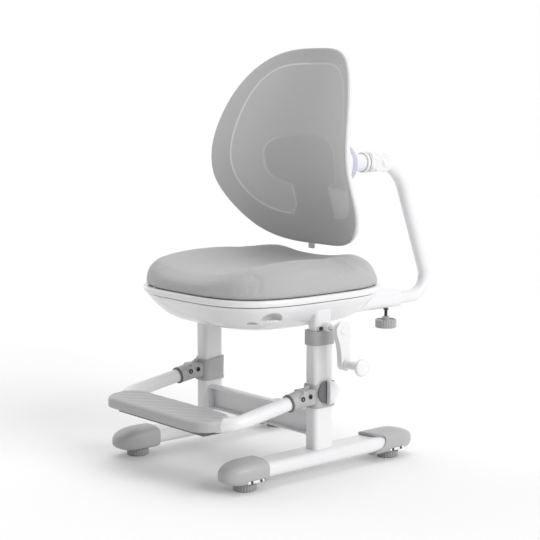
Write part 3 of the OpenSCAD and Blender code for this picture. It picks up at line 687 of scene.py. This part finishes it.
def back_rim(n=260):
    """Closed rim between the window and the outer edge."""
    rings = []
    for i in range(n):
        a = 2 * math.pi * i / n
        o, w = outline(a), window(a)
        rings.append([on_back(w[0] + (o[0] - w[0]) * f, w[1] + (o[1] - w[1]) * f, t)
                      for f, t in RIM_SECTION])
    return skin(rings, close_rings=True)


SHOULDER_LOW, SHOULDER_TOP = 490, 506


def panel_half(z):
    """Half width of the panel: a stem that widens at its foot, a shoulder, a broad head."""
    if z < SHOULDER_LOW:
        return STEM_HALF + 10 * smoothstep(-z, -458, -436)
    if z < SHOULDER_TOP:
        turn = (z - SHOULDER_LOW) / (SHOULDER_TOP - SHOULDER_LOW)
        return STEM_HALF + 33 * (1 - math.cos(math.pi * turn)) / 2
    return HEAD_HALF * math.sqrt(max(0.0, 1 - ((z - HEAD_MID) / HEAD_HIGH) ** 4))


# Section of the panel: side, inset from that side, depth behind the surface
PANEL_SECTION = ((-1.0, 0, 1.5), (-1.0, 2, 0.6), (1.0, -2, 0.6), (1.0, 0, 1.5), (1.0, 0, 8.5),
                 (1.0, -3, 9), (1.0, -4.5, 5.5), (-1.0, 4.5, 5.5), (-1.0, 3, 9), (-1.0, 0, 8.5))


def back_panel():
    """T-shaped panel behind the mesh, from the lower rim to the hub."""
    low, high = WINDOW_MID - WINDOW_DEEP - 6, HEAD_MID + HEAD_HIGH - 0.2
    rings = []
    for i in range(70):
        z = low + (high - low) * math.sin(math.pi / 2 * i / 69)
        w = max(panel_half(z), 5.5)
        ring = []
        for k, (s, inset, t) in enumerate(PANEL_SECTION):
            nxt = PANEL_SECTION[(k + 1) % len(PANEL_SECTION)]
            steps = 16 if s != nxt[0] else 1
            for j in range(steps):
                f = j / steps
                x = (s * w + inset) * (1 - f) + (nxt[0] * w + nxt[1]) * f
                ring.append(on_back(x, z, t * (1 - f) + nxt[2] * f))
        rings.append(ring)
    return skin(rings)


def back_boss():
    """Round seat for the hub, from inside the panel to its flat rear face."""
    boss_r, face_y = 48, 138
    rings = []
    for step in range(6):
        ring = []
        for j in range(64):
            a = 2 * math.pi * j / 64
            x, z = boss_r * math.cos(a), NECK_Z + boss_r * math.sin(a)
            start = on_back(x, z, 3)[1]
            ring.append((x, start + (face_y - start) * step / 5, z))
        rings.append(ring)
    return skin(rings)


def build_back():
    """Rim, panel, boss and the short tab under them, melted into one frame."""
    parts = [add("back_shell", back_rim(), white), add("panel", back_panel(), white),
             add("boss", back_boss(), white),
             add("tab", placed(slab(rounded_rect(17, 4.5, 2), 372, 400, 1.2),
                               Matrix.Translation((-21, 141.3, 0))), white)]
    finish_piece(fuse(parts, 1.8, 3), "backrest", "white_plastic", "back_frame")


build_back()


# Lift of the mesh over the frame's edges and strength of the painted highlight there: stronger on
# the sitter's right than on the left, plus a broad painted highlight low beside the stem
NET_FRONT, LIFT_AND_HIGHLIGHT_RIGHT, LIFT_AND_HIGHLIGHT_LEFT, LIFT_AND_HIGHLIGHT_BEHIND = -0.9, 0.9, 0.4, 0.28
FAR = 9


def lift_and_highlight_near(distance):
    """How strongly the mesh is lifted and painted lighter over an edge at a distance."""
    return smoothstep(-distance, -2.2, -0.4)


def back_net():
    """Mesh stretched over the rim and turned round its edge, lifted a little over the edges of
    the frame behind it;
    a point attribute carries a painted highlight along those edges."""
    steps, inner, outer = 300, 62, 13
    rings, painted_highlight = [], []
    spans = [("inner", 0.012 + 0.988 * k / inner) for k in range(inner + 1)]
    spans += [("outer", k / outer) for k in range(1, outer)]
    # Round the outer edge: distance outside it, and depth behind the surface
    turn = ((0.1, -0.7), (0.5, 0.1), (1.1, 1.4), (1.3, 3.2), (1.0, 4.4))
    for kind, f in spans + [("edge", k) for k in range(len(turn))]:
        ring = []
        for i in range(steps):
            a = 2 * math.pi * i / steps
            a += 0.2 * math.sin(2 * a)
            wx, wz = window(a)
            ox, oz = outline(a)
            if kind == "inner":
                x, z, t = wx * f, WINDOW_MID + (wz - WINDOW_MID) * f, NET_FRONT
                beside = abs(x) - panel_half(z)
                near = min(abs(beside) if z < HEAD_MID + HEAD_HIGH else FAR,
                           math.hypot(wx - x, wz - z) + 0.4)
                if abs(x) < panel_half(z) - 3 and z < HEAD_MID:
                    near = FAR
                clear = x < 0 and abs(x) > panel_half(z) + 4
                strength = (LIFT_AND_HIGHLIGHT_RIGHT if clear else LIFT_AND_HIGHLIGHT_LEFT) * lift_and_highlight_near(near)
                # A broad painted highlight over the opening beside the stem on the sitter's left,
                # full a few millimetres in from the edges, with the same slight lift
                if x > STEM_HALF and z < HEAD_MID - HEAD_HIGH:
                    strength = max(strength, LIFT_AND_HIGHLIGHT_BEHIND * smoothstep(near, 0, 4))
            elif kind == "outer":
                x, z, t = wx + (ox - wx) * f, wz + (oz - wz) * f, NET_FRONT
                strength = (LIFT_AND_HIGHLIGHT_RIGHT if x < 0 else LIFT_AND_HIGHLIGHT_LEFT
                            ) * lift_and_highlight_near(math.hypot(x - wx, z - wz))
            else:
                grow, t = turn[f]
                reach = math.hypot(ox, oz - BACK_MID) or 1
                x, z = ox + grow * ox / reach, oz + grow * (oz - BACK_MID) / reach
                strength = 0.0
            ring.append(on_back(x, z, t - 0.5 * strength))
            painted_highlight.append(strength)
        rings.append(ring)
    obj = add("back_net", skin(rings, cap_last=False), LOOKS["mesh_fabric"], 180)
    mark = obj.data.attributes.new("painted_highlight", "FLOAT", "POINT")
    mark.data.foreach_set("value", painted_highlight + [0.0] * (len(obj.data.vertices) - len(painted_highlight)))
    finish_piece(obj, "backrest", "mesh_fabric", "back_mesh")


back_net()

# ------------------------------------------------------------------ dome, hub and neck

dome_profile = [(-0.5, 20), (-0.5, DOME_R - 1), (0.2, DOME_R - 0.2)] + [
    (DOME_H * math.sin(math.radians(b)), DOME_R * math.cos(math.radians(b)))
    for b in range(4, 69, 4)] + [(DOME_H * 0.93 - 3, 12)]
make("dome", placed(lathe(dome_profile, 180, lambda a, h: 0.006 * math.cos(36 * a)),
                    to_y(0, DOME_Y, NECK_Z)), "tinted_flex", "backrest", "flex_disc")


def along_y(profile):
    """Lathe round the neck's axis through (y, radius) pairs."""
    return placed(lathe(profile, 96), to_y(0, 0, NECK_Z))


make("hub_cone", along_y(((138, 38), (138, 47), (139, 48), (141, 48), (150, 46.4), (170, 43),
                          (184, 41.8), (186, 42.6), (187, 42.6), (187, 20))),
     "white_plastic", "backrest", "back_hub")


def build_neck():
    """Stub and collar round the neck's axis, and two ears with covers over the tilt pin."""
    ear_r, ear_thick, ear_inner, ear_outer = 18.5, 6.95, 13.05, 20.05
    body = add("neck_body", along_y(((216.5, 0.1), (217, 9), (219.5, 13.6), (223, 15.6),
                                     (247, 16.6), (264.4, 16.6), (267, 16.6), (267, 18.9),
                                     (272.6, 19.2), (273.2, 17.6), (275.4, 17.6), (276, 19.6),
                                     (279.5, 19.6), (279.5, 0.1))), white)
    ears = []
    for side in (LEFT, RIGHT):
        x0 = ear_inner if side == LEFT else -ear_outer
        ear = placed(slab([(ear_r * math.cos(2 * math.pi * i / 48),
                            ear_r * math.sin(2 * math.pi * i / 48)) for i in range(48)],
                          0, ear_thick, 2), to_x(x0, *PIVOT))
        cheek = placed(slab(rounded_rect(34, 24, 5), 0, ear_thick, 1.5),
                       to_x(x0, PIVOT[0] - 13, PIVOT[1] + 0.5))
        cover = placed(lathe(((6.5, 0.1), (6.5, 9), (8.6, 9), (10.2, 7), (10.4, 0.1)), 40),
                       to_x(side * 12.6, *PIVOT, side))
        ears += [add("ear", ear, white), add("cheek", cheek, white), add("cover", cover, white)]
    block = add("block", placed(slab(rounded_rect(39, 38, 12), 262, 280, 1),
                                to_y(0, 0, NECK_Z)), white)
    finish_piece(fuse([body, block, *ears], 1.2, 4), "neck", "white_plastic", "neck")


build_neck()

# Dark rings in the grooves that paint the shade there; the first turns with the locking ring
for k, y in enumerate((256.9, 264.6, 273.4)):
    make(f"neck_groove_shade_{k}", along_y(((y, 17.2), (y, 18.7), (y + 0.5, 18.9), (y + 1.2, 18.9),
                                    (y + 1.7, 18.7), (y + 1.7, 17.2))), "dark_plastic",
         "ring" if k == 0 else "neck", sharp=60)
make("lock_ring", along_y(((250, 17.2), (250, 18.9), (250.8, 19.8), (256.4, 19.8),
                           (256.8, 18.4), (258.6, 18.4), (259, 19.8), (262.2, 19.8),
                           (263, 18.9), (263, 17.2))), "white_plastic", "ring", "neck_ring")


# ------------------------------------------------------------------ knurled depth knob

def knurl(count, low, high, depth=0.07):
    """Grooves of a gripped band between two heights."""
    def ripple(a, h):
        groove = max(0.0, math.cos(count * a)) ** 3
        return -depth * groove if low < h < high else 0
    return ripple


make("depth_grip", placed(lathe(((203, 1), (203, 19.4), (204, 20.4), (204.6, 21), (218.4, 21),
                                 (219, 20.4), (219.4, 19.4), (219.4, 17.4), (217.4, 17.2),
                                 (217.4, 8), (224, 7.4), (225, 6.4), (225, 3)),
                                384, knurl(24, 204.4, 218.6)),
                          Matrix.Translation((0, DEPTH_Y, 0))),
     "grey_plastic", "slide_lock", "depth_knob")
make("depth_stem", placed(lathe(((225, 3.2), (238, 3.2), (238.3, 5.2), (240.6, 5.2),
                                 (241, 3.2), (246, 3.2)), 32),
                          Matrix.Translation((0, DEPTH_Y, 0))), "black_screw", "slide_lock")

# ------------------------------------------------------------------ end caps

CAP_INNER, CAP_NOSE, CAP_MID, CAP_WIDE, CAP_TALL = 141, 223, 32, 30, 20
SLOT_Y, SLOT_Z, SLOT_DEEP = (149, 189), 19.5, 3


def in_slot(side, end, sink=0):
    """Lays a shape along the slot in a cap's outer face."""
    return to_x(side * (COLUMN_X + CAP_WIDE - SLOT_DEEP - sink), end * sum(SLOT_Y) / 2,
                SLOT_Z, side) @ QUARTER


def end_cap(side, end):
    """Bulbous cap; the rear ones have an S-shaped front edge."""
    rings = []
    steps, n = 40, 72
    for j in range(steps + 1):
        f = j / steps
        ring = []
        for i in range(n):
            a = 2 * math.pi * i / n
            c, s = spow(math.cos(a), 0.62), spow(math.sin(a), 0.62)
            start = CAP_INNER
            if end == REAR:
                start -= 24 * smoothstep(abs(math.sin(a) * 0.8 - math.cos(a) * 0.35), 0.15, 1)
            v = start + (CAP_NOSE - start) * math.sin(f * math.pi / 2)
            bulge = max(0.0, (v - 165) / (CAP_NOSE - 165))
            wide = CAP_WIDE * max(0.0, 1 - bulge ** 2.3) ** (1 / 2.3)
            drop = max(0.0, v - 172) / (CAP_NOSE - 172)
            tall = CAP_TALL * max(0.0, 1 - drop ** 2.3) ** (1 / 2.2)
            ring.append((side * COLUMN_X + wide * c, end * v,
                         CAP_MID - 2.5 * bulge ** 2 + tall * s))
        rings.append(ring)
    inner = [[(side * COLUMN_X + (x - side * COLUMN_X) * k, y - end * d,
               CAP_MID + (z - CAP_MID) * q) for x, y, z in rings[0]]
             for k, q, d in ((0.985, 0.98, 1.2), (0.93, 0.93, 1.6), (0.91, 0.72, 0.8),
                             (0.90, 0.70, -6))]
    name = f"cap_{end_name(end)}_{side_name(side)}"
    cap = add(name, skin(inner[::-1] + rings), grey, 40)
    slot = add("slot", placed(slab(rounded_rect(SLOT_Y[1] - SLOT_Y[0], 7.5, 2), 0, 12, 0.3),
                              in_slot(side, end)), grey)
    carve(cap, slot)
    shade(cap, 40)
    finish_piece(cap, "base", "grey_plastic", f"{end_name(end)}_cap_{side_name(side)}")
    strip = placed(slab(rounded_rect(36, 4.5, 1), 0, 1.4, 0.3), in_slot(side, end, sink=0.3))
    make(name + "_strip", strip, "white_plastic", "base")


def foot(side, end):
    """Levelling foot: a ribbed disc on its threaded stem."""
    name = f"{end_name(end)}_{side_name(side)}"
    profile = ((0, 1), (0, 17.5), (0.8, 19), (2, 20), (10.6, 20), (12.2, 19.2), (13, 17),
               (13, 6), (14, 4), (37.5, 3.9), (38, 3.4), (38, 0.1))
    make(f"foot_disc_{name}", placed(lathe(profile, 384, knurl(24, 0.5, 11.5)),
                                     Matrix.Translation((side * COLUMN_X, end * FOOT_Y, 0))),
         "rubber_grey", f"foot_{name}", f"foot_{name}", sharp=30)


for build in (end_cap, foot):
    for side in (LEFT, RIGHT):
        for end in (FRONT, REAR):
            build(side, end)

# ------------------------------------------------------------------ crossbar

def crossbar():
    """Formed sheet between the columns: a plain face, a turned top and a low lip."""
    section = ((0, 111), (-12.5, 111), (-14, 109.8), (-14, 105.5), (-12.6, 105.5),
               (-12.6, 109.4), (-2.2, 109.4), (-2.2, 68.6), (-13, 68.6), (-14, 68.2),
               (-14, 66.6), (-13, 66), (-1, 66), (0, 67.4))
    rings = [[(x, y, z) for y, z in section]
             for x in np.linspace(-BAR_HALF, BAR_HALF, 9)]
    parts = [add("crossbar_sheet", skin(rings, cap_first=False, cap_last=False),
                 LOOKS["white_paint"], 30)]
    for side in (LEFT, RIGHT):
        parts.append(add("end", placed(slab([(5, 22), (-5, 22), (-5, -22), (5, -22)], 0, 2, 0.3),
                                       to_x(side * (BAR_HALF - 2), -7, 88.5, side) @ QUARTER),
                         LOOKS["white_paint"]))
    finish_piece(merge(parts), "base", "white_paint", "crossbar")


crossbar()

# Painted over with the parts they hold
for painted in ("crossbar_rivets", "tilt_pin"):
    frame["nodes"][painted].material_slots[0].material = LOOKS["white_paint"]

# ------------------------------------------------------------------ footrest

def tilted(y, x=0.0, z=0.0):
    """Frame of the footrest tube: +Z runs forward along the arm from the point y."""
    return (Matrix.Translation((x, ARM_REF[0], ARM_REF[1]))
            @ Matrix.Rotation(math.radians(ARM_TILT), 4, "X")
            @ Matrix.Translation((0, y, z)) @ Matrix.Rotation(-math.pi / 2, 4, "X"))


# Through bolts of each socket, as y and z
BOLTS = ((-55, 142), (-38, 144))


def clamp(side):
    """Sleeve round the column with a flared outer face, and the ribbed socket of the arm."""
    name = side_name(side)
    levels = ((SLEEVE_LOW + 2, 0.4), (SLEEVE_LOW, 1.6), (SLEEVE_LOW, 3.4),
              (SLEEVE_LOW + 1, 4.0), (SLEEVE_LOW + 4, 4.1), (SLEEVE_LOW + 5, 3.5),
              (142, 3.6), (SLEEVE_TOP - 4, 4.2), (SLEEVE_TOP - 1, 4.2), (SLEEVE_TOP, 3.6),
              (SLEEVE_TOP, 1.6), (SLEEVE_TOP - 1.5, 0.4))
    rings = []
    for z, grow in levels:
        shape = rounded_rect(COLUMN_W + 2 * grow, COLUMN_D + 2 * grow, COLUMN_ROUND + grow, 10)
        slope = 5 if z > 150 else 0
        rings.append([(side * COLUMN_X + x, y, z - slope * smoothstep(-y, -8, 22) * 0.8)
                      for x, y in shape])
    sleeve = add(f"sleeve_{name}", skin(rings, close_rings=True), grey, 40)
    finish_piece(sleeve, "footrest", "grey_plastic", f"clamp_sleeve_{name}")

    profile = ((-10, TUBE_R + 0.3), (-10.6, 13.8), (-9.4, 15.2), (-6, 15.6), (-4.6, 14.9),
               (-3, 15.7), (-1.4, 14.9), (0, 15.7), (1.6, 14.9), (3.2, 15.7), (26, 15.8),
               (28, 14.5), (28, 0.1))
    tube = add(f"socket_{name}", placed(lathe(profile, 72), tilted(0, side * ARM_X)), grey)
    block = add("block", placed(slab(rounded_rect(28, 29, 6), -52, -22, 2.5),
                                to_y(side * ARM_X, 0, 141)), grey)
    rib = add("rib", placed(slab([(-74, -9), (-30, -9), (-27, 6), (-27, 17), (-33, 18.5)],
                                 -2.2, 2.2, 0.6), to_x(side * ARM_X, 0, 143) @ QUARTER), grey)
    bosses = [add("boss", placed(lathe(((-6, 7.2), (14.8, 7.2), (15.8, 6.4), (15.8, 4.8),
                                        (14.2, 4.6), (14.2, 0.1)), 32),
                                 to_x(side * ARM_X, y, z, face)), grey)
              for y, z in BOLTS for face in (LEFT, RIGHT)]
    ring = lathe(((-11.6, TUBE_R + 0.4), (-12.4, 13.6), (-11.6, 15.4), (-8.8, 15.9),
                  (-8.4, TUBE_R + 0.4)), 64)
    make(f"socket_ring_{name}", placed(ring, tilted(0, side * ARM_X)), "dark_plastic",
         "footrest", sharp=60)
    socket = fuse([tube, block, *bosses], 0.9, 2)
    finish_piece(socket, "footrest", "grey_plastic", f"arm_socket_{name}")
    finish_piece(rib, "footrest", "grey_plastic")
    rib.name = f"socket_rib_{name}"
    modify(rib, "BEVEL", width=0.5 * MM, segments=2)
    shade(rib, 40)


def hex_screw(side, face, y, z):
    """One head of a through bolt, with its recess."""
    name = f"bolt_{side_name(side)}_{'out' if side == face else 'in'}_{-y:.0f}"
    make(name, placed(lathe(((13, 0.1), (13, 4.3), (16.6, 4.3), (17.1, 3.8), (17.1, 2.2),
                             (14.8, 2.1), (14.8, 0.1)), 30),
                      to_x(side * ARM_X, y, z, face)),
         "black_screw", "footrest", "socket_screws", sharp=40)


def clamp_knob(side):
    """Round knob whose rear half stands up as a grip; the front half is a hollow."""
    name = side_name(side)
    base = COLUMN_W / 2 + 4.1
    disc = placed(lathe(((base, 0.1), (base, KNOB_R - 0.6), (base + 0.8, KNOB_R),
                         (base + 2.2, KNOB_R), (base + 2.8, KNOB_R - 1.2),
                         (base + 2.8, 0.1)), 80),
                  to_x(side * COLUMN_X, 0, KNOB_Z, side))
    plate = add(f"knob_plate_{name}", disc, LOOKS["dark_plastic"])
    finish_piece(plate, f"knob_{name}", "dark_plastic")
    half = [(KNOB_R * math.cos(math.pi * (i / 40)), KNOB_R * math.sin(math.pi * (i / 40)))
            for i in range(41)]
    half += [(-KNOB_R * 0.985, -2.5), (KNOB_R * 0.985, -2.5)]
    grip = add(f"knob_grip_{name}", placed(slab(half, base + 2.4, base + 13, 2.4),
                                           to_x(side * COLUMN_X, 0, KNOB_Z, side)),
               white)
    finish_piece(grip, f"knob_{name}", "white_plastic", f"clamp_knob_{name}")


for side in (LEFT, RIGHT):
    clamp(side)
    clamp_knob(side)
    for y, z in BOLTS:
        for face in (side, -side):
            hex_screw(side, face, y, z)


RIPPLE, RIPPLE_SKEW, RIPPLE_PITCH = 0.6, 0.6, 23


def footrest_pad():
    """Plate with round ends, a softly waved top and a rolled edge."""
    centre = (PAD_FRONT + PAD_REAR) / 2
    half_y = (PAD_REAR - PAD_FRONT) / 2
    roll, core_x, core_y = 7, PAD_HALF - PAD_ROUND, half_y - PAD_ROUND

    def half(x):
        over = max(abs(x) - core_x, 0)
        return core_y + math.sqrt(max(PAD_ROUND ** 2 - over ** 2, 0))

    def top(x, y):
        depth = PAD_ROUND - math.hypot(max(abs(x) - core_x, 0), max(abs(y) - core_y, 0))
        edge = 1 - min(max(depth, 0), roll) / roll
        wave = RIPPLE * math.cos(2 * math.pi * (y - RIPPLE_SKEW * x) / RIPPLE_PITCH)
        tilt = -2.2 * smoothstep(-y, -half_y, half_y)
        return (PAD_TOP - roll * (1 - math.sqrt(max(1 - edge ** 2, 0)))
                + tilt + wave * smoothstep(depth, 3, 9))

    rings = []
    for i in range(161):
        x = PAD_HALF * math.sin(math.pi / 2 * ((i - 80) / 80)) * 0.9997
        w = half(x)
        across = [w * math.sin(math.pi / 2 * k / 30) for k in range(-30, 31)]
        ring = [(x, centre + y, top(x, y)) for y in across]
        ring += [(x, centre + w, PAD_LOW + 2)]
        ring += [(x, centre + max(w - 1.5, 0) * k / 4, PAD_LOW) for k in range(4, -5, -1)]
        ring += [(x, centre - w, PAD_LOW + 2)]
        rings.append(ring)
    make("foot_plate", skin(rings), "grey_plastic", "footrest", "footrest_pad", sharp=50)


footrest_pad()

# ------------------------------------------------------------------ crank

def crank_arm():
    """Flat arm with a wide round hub, narrowing to the grip."""
    hub_r, half_points = 13, 44
    y1, z1 = ARM_END
    length = math.hypot(y1, CRANK_Z - z1)
    half = ((-hub_r, 0.5), (-12, 6), (-8, 10.6), (0, hub_r), (8, 11.8), (20, 8.6), (34, 7.2),
            (50, 7.4), (length - 3, 8.4), (length + 4, 7.4), (length + 8, 3), (length + 8.6, 0.4))
    points = [(x, spline(half, x)) for x in np.linspace(-hub_r, length + 8.6, half_points)]
    flat = [(x, w) for x, w in points] + [(x, -w) for x, w in points[::-1]]
    lean = math.atan2(y1, CRANK_Z - z1)
    along = (math.sin(lean), -math.cos(lean))
    shape = [(a * along[0] - w * along[1], a * along[1] + w * along[0]) for a, w in flat]
    spin = Matrix.Translation((HUB_X, 0, CRANK_Z)) @ Matrix(
        ((0, 0, 1, 0), (1, 0, 0, 0), (0, 1, 0, 0), (0, 0, 0, 1)))
    make("crank_blade", placed(slab(shape, 0, ARM_THICK, 3, 6), spin), "white_plastic", "crank",
         "crank_arm", sharp=50)
    make("crank_button", placed(lathe(((ARM_THICK - 1, 7), (ARM_THICK + 0.6, 7),
                                       (ARM_THICK + 1.4, 6), (ARM_THICK + 1.6, 0.1)), 48),
                                to_x(HUB_X, 0, CRANK_Z)), "white_plastic", "crank")


crank_arm()
make("crank_mushroom", placed(lathe(
    ((0, 3.4), (0, 8.2), (1, 9), (3, 8.2), (8, 7.2), (GRIP_LEN - 20, 7.2), (GRIP_LEN - 15, 8.4),
     (GRIP_LEN - 11, 11), (GRIP_LEN - 8, 14), (GRIP_LEN - 5.5, 15.4), (GRIP_LEN - 3.5, 15.5),
     (GRIP_LEN - 1.6, 14.6), (GRIP_LEN - 0.4, 12.2), (GRIP_LEN, 8), (GRIP_LEN, 3.4)), 72),
    to_x(GRIP_X, *ARM_END)), "white_plastic", "grip", "crank_grip", sharp=50)

# ------------------------------------------------------------------ studio

FLOOR_HALF = 40000
floor_verts = [(-FLOOR_HALF, -FLOOR_HALF, 0), (FLOOR_HALF, -FLOOR_HALF, 0),
               (FLOOR_HALF, FLOOR_HALF, 0), (-FLOOR_HALF, FLOOR_HALF, 0)]
floor_look = Shader("studio_floor")
floor_look.colour(floor_look.mix(floor_look.noise(400), (0.86, 0.86, 0.86), (0.88, 0.88, 0.88)))
floor_look.set(Roughness=0.9, Specular_IOR_Level=0.1)
floor = add("studio_floor", (floor_verts, [(0, 1, 2, 3)]), floor_look.material, outward=False)

# Soft surround, brightest behind the chair as the camera sees it
AWAY_FROM_CAMERA = (-0.757, 0.652, 0.0)
world = bpy.data.worlds.new("studio")
bpy.context.scene.world = world
world.use_nodes = True
tree = world.node_tree
sky = tree.nodes["Background"]
sky.inputs["Strength"].default_value = 1.0
facing = tree.nodes.new("ShaderNodeVectorMath")
facing.operation = "DOT_PRODUCT"
facing.inputs[1].default_value = AWAY_FROM_CAMERA
fade = tree.nodes.new("ShaderNodeMapRange")
fade.interpolation_type = "SMOOTHSTEP"
for key, value in (("From Min", -0.4), ("From Max", 0.9), ("To Min", 0.35), ("To Max", 1.0)):
    fade.inputs[key].default_value = value
tree.links.new(tree.nodes.new("ShaderNodeTexCoord").outputs["Generated"], facing.inputs[0])
tree.links.new(facing.outputs["Value"], fade.inputs["Value"])
tree.links.new(fade.outputs["Result"], sky.inputs["Color"])


def sun(name, towards, strength, spread):
    """Distant soft light; towards points from the chair to the light."""
    data = bpy.data.lights.new(name, "SUN")
    data.energy, data.angle = strength, math.radians(spread)
    obj = bpy.data.objects.new(name, data)
    bpy.context.collection.objects.link(obj)
    obj.rotation_euler = Vector(towards).to_track_quat("Z", "Y").to_euler()


sun("key", (0.88, 0.15, 0.42), 2.0, 40)
sun("top", (0.0, 0.1, 1.0), 0.8, 50)
sun("fill", (-0.9, -0.1, 0.4), 0.5, 60)

CAMERA_TURN, CAMERA_RISE = math.radians(49.25), math.radians(7.64)
CAMERA_AIM, CAMERA_AWAY = Vector((0.0222, 0, 0.3473)), 2.626
camera = bpy.data.objects.new("camera", bpy.data.cameras.new("camera"))
bpy.context.collection.objects.link(camera)
camera.data.lens = 96.8
back = Vector((math.sin(CAMERA_TURN) * math.cos(CAMERA_RISE),
               -math.cos(CAMERA_TURN) * math.cos(CAMERA_RISE), math.sin(CAMERA_RISE)))
camera.location = CAMERA_AIM + back * CAMERA_AWAY
camera.rotation_euler = (-back).to_track_quat("-Z", "Y").to_euler()
bpy.context.scene.camera = camera
bpy.context.scene.view_settings.view_transform = "Standard"
